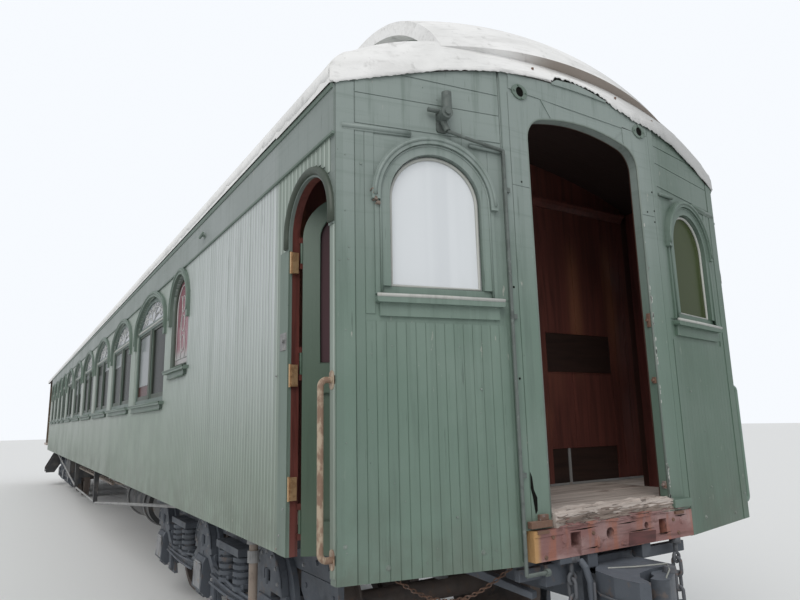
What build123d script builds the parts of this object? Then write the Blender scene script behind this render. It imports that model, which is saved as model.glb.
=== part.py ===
import os
from math import atan2, cos, hypot, radians, sin

from build123d import *

os.makedirs("parts", exist_ok=True)

# A private railroad car: wooden body on a sill frame, closed vestibule at +X,
# open platform at -X, clerestory roof and two six-wheel trucks.
# Millimetres, +Z up, Z = 0 where the wheel flanges touch the ground,
# X along the car with the middle of its length at 0, Y = 0 on the centre line.

# Body
BODY_WIDTH = 2970.0
HALF = BODY_WIDTH / 2
WALL = 110.0
END_WALL = 90.0
SKIRT_Z = 1130.0
PANEL_Z = 1100.0
FLOOR_Z = 1315.0
FLOOR_T = 64.0
FLOOR_BOTTOM = FLOOR_Z - FLOOR_T
BELT_Z = 3100.0
EAVE_Z = 3350.0
LETTER_PROUD = 10.0
SEAT = 0.3
SWING_GAP = 5.3

# Places along the car
FRONT_WALL_X = 10900.0
REAR_WALL_X = -9400.0
CORNER_X = 11600.0
PORTAL_X = 11784.0
BEAM_X = 11813.0
BEAM_T = 123.0
BEAM_Z = (1113.0, FLOOR_BOTTOM - SEAT)
COUPLER_X = 12150.0

# Side windows: the front edge of the first sill, then wide and narrow bays
FIRST_SILL_X = 8060.0
WIDE_PITCH = 1910.0
WIDE_HALF = 770.0
WIDE_COUNT = 6
NARROW_PITCH = 1410.0
NARROW_HALF = 535.0
NARROW_COUNT = 4
SILL_LUG = 75.0
BAY_BOTTOM = 1990.0
BAY_SPRING = 2720.0
BAY_RISE = 360.0
BAY_SIDE_R = 220.0
LOOKOUT_X = 8557.0
LOOKOUT_HALF = 300.0
LOOKOUT_BOTTOM = 2240.0
LOOKOUT_SPRING = 2750.0
SASH_DEPTH = 14.0
LOOKOUT_SASH_DEPTH = 55.0
SASH_T = 45.0
GLASS_T = 6.0
TRANSOM_Z = 2790.0
BAR = 66.0
STILE = 50.0
MULLION_HALF = 45.0

# Vestibule
VESTIBULE_WALL = 50.0
PORTAL_T = 60.0
PORTAL_HALF = 620.0
PORTAL_OPENING = 443.0
PORTAL_SPRING = 3220.0
PORTAL_RISE = 180.0
PORTAL_SIDE_R = 140.0
SIDE_DOOR_X = 11310.0
SIDE_DOOR_HALF = 240.0
SIDE_DOOR_SPRING = 2720.0
SIDE_DOOR_OPEN = 58.0
LEAF_T = 40.0
LEAF_STILE = 90.0
PANEL_WINDOW_S = 500.0
PANEL_WINDOW_HALF = 240.0
PANEL_WINDOW_BOTTOM = 2370.0
PANEL_WINDOW_SPRING = 2800.0
WELL_Y = 880.0
BODY_DOOR_HALF = 360.0
BODY_DOOR_TOP = 3215.0

# Hinges: knuckles on the leaves turn on fixed pins held by lugs
KNUCKLE_R = 8.0
KNUCKLE_H = 110.0
PIN_R = 4.0
PIN_FIT = 0.05
LUG_T = 30.0
SIDE_KNUCKLES = (1290.0, 2060.0, 2640.0)
BODY_KNUCKLES = (1600.0, 2300.0, 3000.0)
SIDE_HINGE = (SIDE_DOOR_X - SIDE_DOOR_HALF + KNUCKLE_R, VESTIBULE_WALL - HALF + KNUCKLE_R + SEAT)
BODY_HINGE_Y = KNUCKLE_R - BODY_DOOR_HALF
BODY_HINGE_DEEP = KNUCKLE_R + SEAT
GATE_KNUCKLE_R = 12.0
GATE_KNUCKLE_H = 40.0
GATE_PIN_R = 6.0
GATE_KNUCKLES = (1420.0, 2160.0)
GATE_HINGE = (REAR_WALL_X - 18.0, 25.0 - WELL_Y)
GATE_BARS = 8

# Roof
ROOF_EDGE_Y = 1515.0
BAND_CROWN_Z = 3610.0
DECK_Y = 800.0
DECK_Z = 3745.0
DECK_T = 60.0
DECK_BEND = (1130.0, 3665.0)
SHOULDER = (1440.0, 3515.0)
SHOULDER_BEND = (1492.0, 3468.0)
DRIP_Z = 3405.0
CLERESTORY_T = 40.0
CEILING_Z = 3640.0
UPPER_HALF = 900.0
UPPER_EAVE_Z = 4190.0
UPPER_CROWN_Z = 4330.0
UPPER_FASCIA = 80.0
UPPER_T = 70.0
NOSE_X = 10800.0
NOSE_Z = 3190.0
NOSE_ARC = 60.0
HOOD_ROOM_X = 11630.0
HOOD_CROWN_R = 1085.0
HOOD_EDGE_R = 845.0
HOOD_OVERHANG = 8.0

# Underframe
CENTRE_SILL = (120.0, 260.0)
MIDDLE_SILL = (620.0, 740.0)
SIDE_SILL = (1240.0, HALF - WALL - SEAT)
BEARER_HALF = 60.0
BEARER_XS = (9600.0, 7000.0, 5600.0, 4000.0, 600.0, -2600.0, -4200.0, -5400.0, -8100.0)
NEEDLE_XS = (2300.0, -1000.0)
NEEDLE_Z = 1000.0
BOLSTER_Z = 1060.0
CENTRE_PLATE_Z = 1045.0
ROD_R = 17.0
ROD_Y = 1340.0
INNER_ROD_Y = 500.0
ROD_FOOT_Z = 570.0
RODS = ((ROD_Y, 6200.0), (INNER_ROD_Y, 3200.0))
ANCHOR_DROP = 26.0
QUEEN_FOOT = 30.0

# Trucks
TRUCK_XS = (("front", 8250.0), ("rear", -6750.0))
AXLE_PITCH = 1600.0
TREAD_R = 482.5
FLANGE_H = 28.0
AXLE_Z = TREAD_R + FLANGE_H
AXLE_R = 80.0
JOURNAL_R = 65.0
JOURNAL_FIT = 0.05
JOURNAL_END = 1080.0
WHEEL_IN = 680.0
WHEEL_OUT = 815.0
WHEELPIECE = (930.0, 1050.0)
WHEELPIECE_Z = (870.0, 1040.0)
WHEELPIECE_HALF = 2500.0
PEDESTAL_T = 35.0
PEDESTAL_HALF = 350.0
PEDESTAL_TOP = 985.0
JAW_HALF = 150.0
BOX = (870.0, 1190.0)
BOX_HALF = 140.0
BOX_UP = 150.0
BOX_DOWN = 170.0
TRANSOMS = (660.0, 940.0)
TRANSOM_HALF = 35.0
TRANSOM_TOP = 970.0
END_PIECE_HALF = 60.0
BOLSTER_LOW = 860.0
BRIDGE_Z = (TRANSOM_TOP + 4.0, 1015.0)
BRIDGE_HALF = 280.0
EQUALIZER = (1100.0, 1135.0)
EQUALIZER_T = 60.0
EQUALIZER_DIP = 120.0
SPRING_R = 85.0
SPRING_XS = (620.0, 980.0)
RING_T = 30.0
RING_PITCH = 50.0
RING_COUNT = 5


def arched_outline(middle, half, bottom, spring, rise, side_r, grow=0.0):
    """A closed outline: square below, a three-centred or round arch above."""
    half, bottom, rise, side_r = half + grow, bottom - grow, rise + grow, side_r + grow
    left, right, crown = middle - half, middle + half, spring + rise
    if abs(side_r - half) < 1e-6:
        with BuildLine() as outline:
            Polyline((left, spring), (left, bottom), (right, bottom), (right, spring))
            ThreePointArc((right, spring), (middle, crown), (left, spring))
        make_face(outline.edges())
        return
    inset = half - side_r
    drop = (inset**2 - (rise - side_r) ** 2) / (2 * (rise - side_r))
    turn = atan2(drop, inset)
    joint_x = inset + side_r * cos(turn)
    joint_z = spring + side_r * sin(turn)
    bend_x = inset + side_r * cos(turn / 2)
    bend_z = spring + side_r * sin(turn / 2)
    with BuildLine() as outline:
        Polyline((left, spring), (left, bottom), (right, bottom), (right, spring))
        ThreePointArc((right, spring), (middle + bend_x, bend_z), (middle + joint_x, joint_z))
        ThreePointArc((middle + joint_x, joint_z), (middle, crown), (middle - joint_x, joint_z))
        ThreePointArc((middle - joint_x, joint_z), (middle - bend_x, bend_z), (left, spring))
    make_face(outline.edges())


def block(low, high, mode=Mode.ADD):
    """A plain board or beam given by its lowest and highest corners."""
    size = [b - a for a, b in zip(low, high)]
    middle = [(a + b) / 2 for a, b in zip(low, high)]
    with Locations(tuple(middle)):
        Box(*size, mode=mode)


def rod(start, end, radius):
    """A straight round rod between two points."""
    start, end = Vector(*start), Vector(*end)
    along = end - start
    with BuildSketch(Plane(origin=start, z_dir=along)) as section:
        Circle(radius)
    extrude(section.sketch, amount=along.length)


def hinge_pins(at, heights, knuckle_h, pin_r, lug_corners):
    """Fixed pins through knuckles, each held by a lug above and a lug below."""
    for middle_z in heights:
        with Locations((at[0], at[1], middle_z)):
            Cylinder(pin_r, knuckle_h + 2 * LUG_T)
        for step in (1, -1):
            near, far = knuckle_h / 2 + SEAT, knuckle_h / 2 + LUG_T
            low_z, high_z = sorted((middle_z + step * near, middle_z + step * far))
            for (low_x, low_y), (high_x, high_y) in lug_corners:
                block((low_x, low_y, low_z), (high_x, high_y, high_z))


def sloped_rod(start, end, radius):
    """A leaning round rod whose two ends are upright faces."""
    start, end = Vector(*start), Vector(*end)
    along = end - start
    with BuildSketch(Plane(origin=start, x_dir=(0, 1, 0), z_dir=(1, 0, 0))) as section:
        Circle(radius)
    extrude(section.sketch, amount=along.length, dir=along.normalized())


def save(built, name):
    built.part.label = name
    export_step(built.part, "parts/" + name + ".step")


def save_pair(left, name):
    """Writes the left piece and its mirror image across the centre line."""
    save(left, name + "_left")
    with BuildPart() as right:
        mirror(left.part, about=Plane.XZ)
    save(right, name + "_right")


def mirrored(left):
    """The same pieces on both sides, in one node."""
    with BuildPart() as both:
        add(left.part)
        mirror(left.part, about=Plane.XZ)
    return both


# Window table: middle, half width, bottom, spring, rise and side radius of the arch
windows = [(LOOKOUT_X, LOOKOUT_HALF, LOOKOUT_BOTTOM, LOOKOUT_SPRING, LOOKOUT_HALF, LOOKOUT_HALF)]
for bay in range(WIDE_COUNT):
    bay_x = FIRST_SILL_X - WIDE_HALF - SILL_LUG - bay * WIDE_PITCH
    windows.append((bay_x, WIDE_HALF, BAY_BOTTOM, BAY_SPRING, BAY_RISE, BAY_SIDE_R))
narrow_sill_x = FIRST_SILL_X - WIDE_COUNT * WIDE_PITCH
for bay in range(NARROW_COUNT):
    bay_x = narrow_sill_x - NARROW_HALF - SILL_LUG - bay * NARROW_PITCH
    windows.append((bay_x, NARROW_HALF, BAY_BOTTOM, BAY_SPRING, BAY_RISE, BAY_SIDE_R))

HOOD_WIDE = 56.0
HOOD_PROUD = 28.0
SILL_PROUD = 50.0
SILL_T = 30.0
APRON_T = 42.0
APRON_PROUD = 25.0

# Side wall
with BuildPart() as side_wall:
    block((REAR_WALL_X, -HALF, SKIRT_Z), (FRONT_WALL_X, WALL - HALF, EAVE_Z))
    block((REAR_WALL_X, -HALF - LETTER_PROUD, BELT_Z), (FRONT_WALL_X, -HALF, EAVE_Z))
    with BuildSketch(Plane.XZ.offset(HALF + LETTER_PROUD)):
        for window in windows:
            arched_outline(*window)
    extrude(amount=-WALL - LETTER_PROUD, mode=Mode.SUBTRACT)
    with BuildSketch(Plane.XZ.offset(HALF)):
        for window in windows:
            arched_outline(*window, grow=HOOD_WIDE + SEAT)
    extrude(amount=LETTER_PROUD, mode=Mode.SUBTRACT)
save_pair(side_wall, "side_wall")

# Window hoods and sills on the face of the wall
with BuildPart() as casings_left:
    for middle, half, bottom, spring, rise, side_r in windows:
        with BuildSketch(Plane.XZ.offset(HALF)):
            arched_outline(middle, half, spring - HOOD_WIDE, spring, rise, side_r, grow=HOOD_WIDE)
            with BuildSketch(mode=Mode.SUBTRACT):
                arched_outline(middle, half, spring - 3 * HOOD_WIDE, spring, rise, side_r)
        extrude(amount=HOOD_PROUD)
        reach = half + SILL_LUG
        ledge_y = -HALF - SILL_PROUD
        block((middle - reach, ledge_y, bottom - SILL_T), (middle + reach, -HALF, bottom))
        apron_low = (middle - half, -HALF - APRON_PROUD, bottom - SILL_T - APRON_T)
        block(apron_low, (middle + half, -HALF, bottom - SILL_T))
window_casings = mirrored(casings_left)
save(window_casings, "window_casings")


def sash_depth(half):
    """The small lookout window is set deep in the wall, the others nearly flush."""
    return LOOKOUT_SASH_DEPTH if half < NARROW_HALF else SASH_DEPTH


# Sashes: an arched transom light over two tall lights with a middle stile
with BuildPart() as sashes_left:
    for middle, half, bottom, spring, rise, side_r in windows:
        with BuildSketch(Plane.XZ.offset(HALF - sash_depth(half))):
            arched_outline(middle, half, bottom, spring, rise, side_r, grow=-SEAT)
            if half < NARROW_HALF:
                with BuildSketch(mode=Mode.SUBTRACT):
                    arched_outline(middle, half, bottom, spring, rise, side_r, grow=-STILE)
            else:
                with BuildSketch(mode=Mode.SUBTRACT) as lights:
                    arched_outline(middle, half, bottom, spring, rise, side_r, grow=-STILE)
                    with Locations((middle, TRANSOM_Z)):
                        Rectangle(2 * half, BAR, mode=Mode.SUBTRACT)
                    with Locations((middle, (bottom + TRANSOM_Z) / 2)):
                        Rectangle(2 * MULLION_HALF, TRANSOM_Z - bottom, mode=Mode.SUBTRACT)
        extrude(amount=-SASH_T)
window_sashes = mirrored(sashes_left)
save(window_sashes, "window_sashes")

# Window glass: one pane behind each sash
with BuildPart() as glass:
    for window in windows:
        with BuildSketch(Plane.XZ.offset(HALF - sash_depth(window[1]) - SASH_T - SEAT)):
            arched_outline(*window, grow=-SEAT)
        extrude(amount=-GLASS_T)
save_pair(glass, "window_glass")


def lower_deck_face(inner_y):
    """Half section of the lower deck: eave, rounded shoulder, flat curve, underside."""
    inside, ceiling = (HALF - WALL, 3450.0), (1115.0, 3605.0)
    with BuildLine() as outline:
        Polyline((inner_y, DECK_Z - DECK_T), (inner_y, DECK_Z))
        ThreePointArc((inner_y, DECK_Z), DECK_BEND, SHOULDER)
        ThreePointArc(SHOULDER, SHOULDER_BEND, (ROOF_EDGE_Y, DRIP_Z))
        Polyline((ROOF_EDGE_Y, DRIP_Z), (ROOF_EDGE_Y, EAVE_Z), (inside[0], EAVE_Z), inside)
        ThreePointArc(inside, ceiling, (inner_y, DECK_Z - DECK_T))
    make_face(outline.edges())


with BuildPart() as deck_half:
    with BuildSketch(Plane.YZ.offset(REAR_WALL_X)):
        lower_deck_face(DECK_Y)
    extrude(amount=FRONT_WALL_X - REAR_WALL_X)
lower_deck_roof = mirrored(deck_half)
save(lower_deck_roof, "lower_deck_roof")


def upper_deck_face(room=0.0):
    """Section of the upper deck, a flat arch with a fascia at each eave."""
    half = UPPER_HALF + room
    eave, fascia = UPPER_EAVE_Z + room, UPPER_EAVE_Z - UPPER_FASCIA - room
    seat = DECK_Y - CLERESTORY_T
    with BuildLine() as outline:
        Polyline((-half, eave), (-half, fascia), (-seat, fascia))
        ThreePointArc((-seat, fascia), (0, UPPER_CROWN_Z - UPPER_T - room), (seat, fascia))
        Polyline((seat, fascia), (half, fascia), (half, eave))
        ThreePointArc((half, eave), (0, UPPER_CROWN_Z + room), (-half, eave))
    make_face(outline.edges())


def nose(end, room=0.0, mode=Mode.ADD):
    """The upper deck bent down over one end, about a line across the car."""
    with BuildSketch(Plane.YZ.offset(end * NOSE_X)) as section:
        upper_deck_face(room)
    bend = Axis((end * NOSE_X, 0, NOSE_Z), (0, end, 0))
    revolve(section.sketch, axis=bend, revolution_arc=NOSE_ARC, mode=mode)


def cut_over_nose(end):
    """Takes away what would stand above the seat of the bent deck."""
    seat_z = UPPER_EAVE_Z - UPPER_FASCIA - SEAT
    with BuildSketch(Plane.YZ.offset(end * NOSE_X)) as section:
        with Locations((0, seat_z + UPPER_HALF / 2)):
            Rectangle(2 * UPPER_HALF, UPPER_HALF)
    bend = Axis((end * NOSE_X, 0, NOSE_Z), (0, end, 0))
    revolve(section.sketch, axis=bend, revolution_arc=90, mode=Mode.SUBTRACT)


with BuildPart() as upper_deck_roof:
    with BuildSketch(Plane.YZ.offset(-NOSE_X)):
        upper_deck_face()
    extrude(amount=2 * NOSE_X)
    for end in (1, -1):
        nose(end)
save(upper_deck_roof, "upper_deck_roof")

# Clerestory walls with recessed deck lights
LIGHT_PITCH = 940.0
LIGHT_COUNT = 21
with BuildPart() as clerestory_left:
    reach = HOOD_ROOM_X - CLERESTORY_T
    top = UPPER_EAVE_Z - UPPER_FASCIA - SEAT
    block((-reach, -DECK_Y + SEAT, CEILING_Z + SEAT), (reach, CLERESTORY_T - DECK_Y, top))
    for end in (1, -1):
        cut_over_nose(end)
    light_z = (DECK_Z + top) / 2
    with BuildSketch(Plane.XZ.offset(DECK_Y - SEAT)):
        with Locations((0, light_z)):
            with GridLocations(LIGHT_PITCH, 1, LIGHT_COUNT, 1):
                RectangleRounded(700, 200, 40)
    extrude(amount=-15, mode=Mode.SUBTRACT)
clerestory_walls = mirrored(clerestory_left)
save(clerestory_walls, "clerestory_walls")


def under_roof_arc(drop=0.0):
    """Everything below the curved line where the hood meets the end of the car."""
    edge, crown = EAVE_Z - drop, BAND_CROWN_Z - drop
    with BuildLine() as outline:
        Polyline((-HALF, edge), (-HALF, 0), (HALF, 0), (HALF, edge))
        ThreePointArc((HALF, edge), (0, crown), (-HALF, edge))
    make_face(outline.edges())


def band_arc_z(y):
    """Height of the hood's lower edge at a distance from the centre line."""
    sag = BAND_CROWN_Z - EAVE_Z
    big_r = (HALF**2 + sag**2) / (2 * sag)
    return BAND_CROWN_Z - big_r + (big_r**2 - y**2) ** 0.5


def hood_section():
    """Half-round section of the hood, from its turning line up to the canvas."""
    with BuildLine() as outline:
        edge = NOSE_Z + HOOD_EDGE_R
        Polyline((-HALF, edge), (-ROOF_EDGE_Y, edge), (-ROOF_EDGE_Y, NOSE_Z))
        Polyline((-ROOF_EDGE_Y, NOSE_Z), (ROOF_EDGE_Y, NOSE_Z), (ROOF_EDGE_Y, edge), (HALF, edge))
        ThreePointArc((HALF, edge), (0, NOSE_Z + HOOD_CROWN_R), (-HALF, edge))
    make_face(outline.edges())


def hood_limit():
    """Section that the hood stays within: the lower deck above, the curved edge below."""
    lowest = band_arc_z(ROOF_EDGE_Y)
    with BuildLine() as outline:
        Polyline((DECK_Y, DECK_Z), (-DECK_Y, DECK_Z))
        for side in (1, -1):
            bend, shoulder, turn_in, drip = [
                (side * y, z) for y, z in (DECK_BEND, SHOULDER, SHOULDER_BEND, (ROOF_EDGE_Y, DRIP_Z))
            ]
            ThreePointArc((side * DECK_Y, DECK_Z), bend, shoulder)
            ThreePointArc(shoulder, turn_in, drip)
            Polyline(drip, (side * ROOF_EDGE_Y, lowest))
        ThreePointArc((-ROOF_EDGE_Y, lowest), (0, BAND_CROWN_Z), (ROOF_EDGE_Y, lowest))
    make_face(outline.edges())


def hood(end, wall_x):
    """The roof over one platform: canvas hood with a ceiling board under it."""
    start = abs(wall_x) + SEAT
    deck = DECK_Y + SEAT
    front = PORTAL_X + HOOD_OVERHANG
    low_x, high_x = sorted((0.0, end * HOOD_ROOM_X))
    with BuildPart() as nose_room:
        nose(end, room=SEAT)
    with BuildPart() as built:
        with BuildSketch(Plane.YZ.offset(end * NOSE_X)):
            hood_section()
        bend = Axis((end * NOSE_X, 0, NOSE_Z), (0, end, 0))
        revolve(axis=bend, revolution_arc=90)
        if start < NOSE_X:
            with BuildSketch(Plane.YZ.offset(end * NOSE_X)):
                hood_section()
            extrude(amount=-end * (NOSE_X - start))
        with BuildSketch(Plane.YZ.offset(end * start)):
            hood_limit()
        extrude(amount=end * 2 * (front - start), mode=Mode.INTERSECT)
        with BuildSketch(Plane.XY.offset(NOSE_Z)):
            with BuildLine():
                Polyline(
                    (end * start, -ROOF_EDGE_Y),
                    (end * CORNER_X, -ROOF_EDGE_Y),
                    (end * front, -PORTAL_HALF),
                    (end * front, PORTAL_HALF),
                    (end * CORNER_X, ROOF_EDGE_Y),
                    (end * start, ROOF_EDGE_Y),
                    close=True,
                )
            make_face()
        extrude(amount=NOSE_Z, mode=Mode.INTERSECT)
        block((low_x, -deck, CEILING_Z), (high_x, deck, 2 * CEILING_Z), mode=Mode.SUBTRACT)
        add(nose_room.part, mode=Mode.SUBTRACT)
    return built


front_roof_hood = hood(1, FRONT_WALL_X)
save(front_roof_hood, "front_roof_hood")
rear_roof_hood = hood(-1, REAR_WALL_X)
save(rear_roof_hood, "rear_roof_hood")

# End walls, each with its doorway
PANEL_RECESS = 12.0


def end_wall(end, wall_x):
    """A body end wall up to the roof, with recessed panels beside the doorway."""
    inside = HALF - WALL - SEAT
    lower, upper = DECK_Y - SEAT, DECK_Y - CLERESTORY_T - SEAT
    top = UPPER_EAVE_Z - UPPER_FASCIA - SEAT
    with BuildPart() as built:
        with BuildSketch(Plane.YZ.offset(wall_x)):
            with BuildLine():
                Polyline(
                    (-inside, FLOOR_Z),
                    (inside, FLOOR_Z),
                    (inside, 3440),
                    (lower, CEILING_Z),
                    (upper, CEILING_Z),
                    (upper, top),
                    (-upper, top),
                    (-upper, CEILING_Z),
                    (-lower, CEILING_Z),
                    (-inside, 3440),
                    close=True,
                )
            make_face()
            with Locations((0, (FLOOR_Z + BODY_DOOR_TOP) / 2)):
                Rectangle(2 * BODY_DOOR_HALF, BODY_DOOR_TOP - FLOOR_Z, mode=Mode.SUBTRACT)
        extrude(amount=-end * END_WALL)
        if abs(wall_x) > NOSE_X:
            cut_over_nose(end)
        for side in (1, -1):
            for low_z, high_z in ((1420, 1880), (1960, 2120), (2200, 3060)):
                low_y, high_y = sorted((side * 500, side * 1200))
                low_x, high_x = sorted((wall_x, wall_x - end * PANEL_RECESS))
                block((low_x, low_y, low_z), (high_x, high_y, high_z), mode=Mode.SUBTRACT)
        inner_x = wall_x - end * END_WALL
        hinge_x = inner_x - end * BODY_HINGE_DEEP
        root_low, root_high = sorted((inner_x + end * PIN_R, hinge_x - end * PIN_R))
        root = ((root_low, -BODY_DOOR_HALF - 35), (root_high, -BODY_DOOR_HALF))
        eye_low = (hinge_x - PIN_R, -BODY_DOOR_HALF - PIN_R)
        eye = (eye_low, (hinge_x + PIN_R, BODY_HINGE_Y + PIN_R))
        hinge_pins((hinge_x, BODY_HINGE_Y), BODY_KNUCKLES, KNUCKLE_H, PIN_R, (root, eye))
        if end < 0:
            gate_x, gate_y = GATE_HINGE
            for pin_y in (gate_y, -gate_y):
                lug = ((gate_x - GATE_PIN_R, pin_y - GATE_PIN_R), (wall_x + 5, pin_y + GATE_PIN_R))
                pin = (GATE_KNUCKLES, GATE_KNUCKLE_H, GATE_PIN_R, (lug,))
                hinge_pins((gate_x, pin_y), *pin)
    return built


save(end_wall(1, FRONT_WALL_X), "front_end_wall")
save(end_wall(-1, REAR_WALL_X), "rear_end_wall")

# Plan of the angled end: how far it leans, and its inner face
SLOPE = (PORTAL_X - 8 - CORNER_X) / (HALF - PORTAL_HALF)
POST = 50.0
run_y = HALF - PORTAL_HALF
run_x = SLOPE * run_y
run = hypot(run_x, run_y)
deep = VESTIBULE_WALL * run / run_y


def panel_inner_x(y):
    return CORNER_X + SLOPE * (HALF - y) - deep


# Floors
floor_half = HALF - WALL - SEAT
with BuildPart() as cabin_floor:
    block((REAR_WALL_X, -floor_half, FLOOR_BOTTOM), (FRONT_WALL_X, floor_half, FLOOR_Z))
save(cabin_floor, "cabin_floor")

with BuildPart() as vestibule_floor:
    tongue = PORTAL_OPENING - SEAT
    back_x = PORTAL_X - PORTAL_T - SEAT
    with BuildSketch(Plane.XY.offset(FLOOR_BOTTOM)):
        with BuildLine():
            corner_x = panel_inner_x(WELL_Y) - SEAT
            Polyline(
                (FRONT_WALL_X + SEAT, -WELL_Y),
                (corner_x, -WELL_Y),
                (back_x, -PORTAL_HALF),
                (back_x, -tongue),
                (BEAM_X, -tongue),
                (BEAM_X, tongue),
                (back_x, tongue),
                (back_x, PORTAL_HALF),
                (corner_x, WELL_Y),
                (FRONT_WALL_X + SEAT, WELL_Y),
                close=True,
            )
        make_face()
    extrude(amount=FLOOR_T)
save(vestibule_floor, "vestibule_floor")

# Underframe: long sills, cross bearers, needle beams, bolsters and platform sills
with BuildPart() as underframe:
    platform_reach = BEAM_X - BEAM_T - SEAT
    for side in (1, -1):
        for low, high in (CENTRE_SILL, MIDDLE_SILL):
            low_y, high_y = sorted((side * low, side * high))
            block((-platform_reach, low_y, SKIRT_Z), (platform_reach, high_y, FLOOR_BOTTOM))
        low_y, high_y = sorted((side * SIDE_SILL[0], side * SIDE_SILL[1]))
        block((REAR_WALL_X, low_y, SKIRT_Z), (FRONT_WALL_X, high_y, FLOOR_BOTTOM))
    # columns: place, half thickness, half length, lowest point
    crossings = [(x, BEARER_HALF, SIDE_SILL[1], SKIRT_Z) for x in BEARER_XS]
    crossings += [(x, BEARER_HALF, SIDE_SILL[1], NEEDLE_Z) for x in NEEDLE_XS]
    crossings += [(x, 3 * BEARER_HALF, SIDE_SILL[0], BOLSTER_Z) for name, x in TRUCK_XS]
    crossings += [(FRONT_WALL_X - BEARER_HALF, BEARER_HALF, SIDE_SILL[1], SKIRT_Z)]
    crossings += [(REAR_WALL_X + BEARER_HALF, BEARER_HALF, SIDE_SILL[1], SKIRT_Z)]
    for x, half, reach_y, low_z in crossings:
        block((x - half, -reach_y, low_z), (x + half, reach_y, FLOOR_BOTTOM))
    anchor_low = SKIRT_Z - 2 * ANCHOR_DROP
    for y, anchor in RODS:
        for lug_y in (-y, y):
            front_x, rear_x = NEEDLE_XS[0] + anchor, NEEDLE_XS[1] - anchor
            block((front_x, lug_y - 30, anchor_low), (front_x + 70, lug_y + 30, SKIRT_Z))
            block((rear_x - 70, lug_y - 30, anchor_low), (rear_x, lug_y + 30, SKIRT_Z))
    for name, x in TRUCK_XS:
        with Locations((x, 0, (BOLSTER_Z + CENTRE_PLATE_Z) / 2)):
            Cylinder(200, BOLSTER_Z - CENTRE_PLATE_Z)
save(underframe, "underframe")

# Buffer beams: a worn timber with square and round pockets, one at each end
with BuildPart() as front_beam:
    beam_half = 587.0
    block((BEAM_X - BEAM_T, -beam_half, BEAM_Z[0]), (BEAM_X, beam_half, BEAM_Z[1]))
    with BuildSketch(Plane.YZ.offset(BEAM_X)):
        # columns: distance across, height, width, depth of the square pockets
        for hole_y, hole_z, wide, high in ((-320.0, 1190.0, 70.0, 64.0), (331.0, 1182.0, 62.0, 80.0)):
            with Locations((hole_y, hole_z)):
                Rectangle(wide, high)
        for hole_y, hole_z, hole_r in ((-78.0, 1192.0, 28.0), (199.0, 1203.0, 16.0)):
            with Locations((hole_y, hole_z)):
                Circle(hole_r)
    extrude(amount=-60, mode=Mode.SUBTRACT)
with BuildPart() as buffer_beams:
    add(front_beam.part)
    mirror(front_beam.part, about=Plane.YZ)
save(buffer_beams, "buffer_beams")

# Couplers: shank and draft box, head with guard arm, and a separate knuckle
COUPLER_Z = 906.0
HEAD_HALF = 140.0
KNUCKLE_HALF = 126.0
SHANK_HALF = 75.0
with BuildPart() as front_coupler:
    shank_low, shank_high = COUPLER_Z - SHANK_HALF, COUPLER_Z + SHANK_HALF
    block((11000, -SHANK_HALF, shank_low), (11750, SHANK_HALF, shank_high))
    block((11050, -CENTRE_SILL[1], shank_high), (11640, CENTRE_SILL[1], SKIRT_Z))
    with BuildSketch(Plane.XY.offset(COUPLER_Z - HEAD_HALF)):
        with BuildLine():
            Polyline(
                (11700, -SHANK_HALF),
                (11760, -140),
                (11850, -245),
                (11990, -285),
                (12125, -280),
                (COUPLER_X, -235),
                (12060, -190),
                (12010, -130),
                (11985, -20),
                (11985, 150),
                (11780, 155),
                (11700, SHANK_HALF),
                close=True,
            )
        make_face()
    extrude(amount=2 * HEAD_HALF)
    top_edges = front_coupler.edges().group_by(Axis.Z)[-1]
    chamfer(top_edges, 16)
with BuildPart() as front_knuckle:
    root_x = 11985 + SEAT
    with BuildSketch(Plane.XY.offset(COUPLER_Z - KNUCKLE_HALF)):
        with BuildLine():
            Polyline((12010, -50), (root_x, -15), (root_x, 148))
            ThreePointArc((root_x, 148), (12062, 50), (12118, -60))
            ThreePointArc((12118, -60), (12108, -116), (12062, -124))
            Polyline((12062, -124), (12042, -70), (12010, -50))
        make_face()
    extrude(amount=2 * KNUCKLE_HALF)
with BuildPart() as couplers:
    for piece in (front_coupler.part, front_knuckle.part):
        add(piece)
        mirror(piece, about=Plane.YZ)
save(couplers, "couplers")

# Truss rods on queen posts
with BuildPart() as queen_posts:
    for x in NEEDLE_XS:
        for y in (-ROD_Y, -INNER_ROD_Y, INNER_ROD_Y, ROD_Y):
            foot = ROD_FOOT_Z + ROD_R + SEAT
            with BuildSketch(Plane.XY.offset(foot)):
                with Locations((x, y)):
                    Rectangle(2 * QUEEN_FOOT, 2 * QUEEN_FOOT)
            with BuildSketch(Plane.XY.offset(NEEDLE_Z)):
                with Locations((x, y)):
                    Rectangle(110, 70)
            loft(ruled=True)
save(queen_posts, "queen_posts")

with BuildPart() as truss_rods:
    front_x, rear_x = NEEDLE_XS
    bend, low, high = QUEEN_FOOT + 10, ROD_FOOT_Z, SKIRT_Z - ANCHOR_DROP
    for y, anchor in RODS:
        for rod_y in (-y, y):
            rod((rear_x - bend, rod_y, low), (front_x + bend, rod_y, low), ROD_R)
            front_near, front_far = front_x + bend + SEAT, front_x + anchor - SEAT
            rear_near, rear_far = rear_x - bend - SEAT, rear_x - anchor + SEAT
            sloped_rod((front_near, rod_y, low), (front_far, rod_y, high), ROD_R)
            sloped_rod((rear_far, rod_y, high), (rear_near, rod_y, low), ROD_R)
save(truss_rods, "truss_rods")

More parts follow.
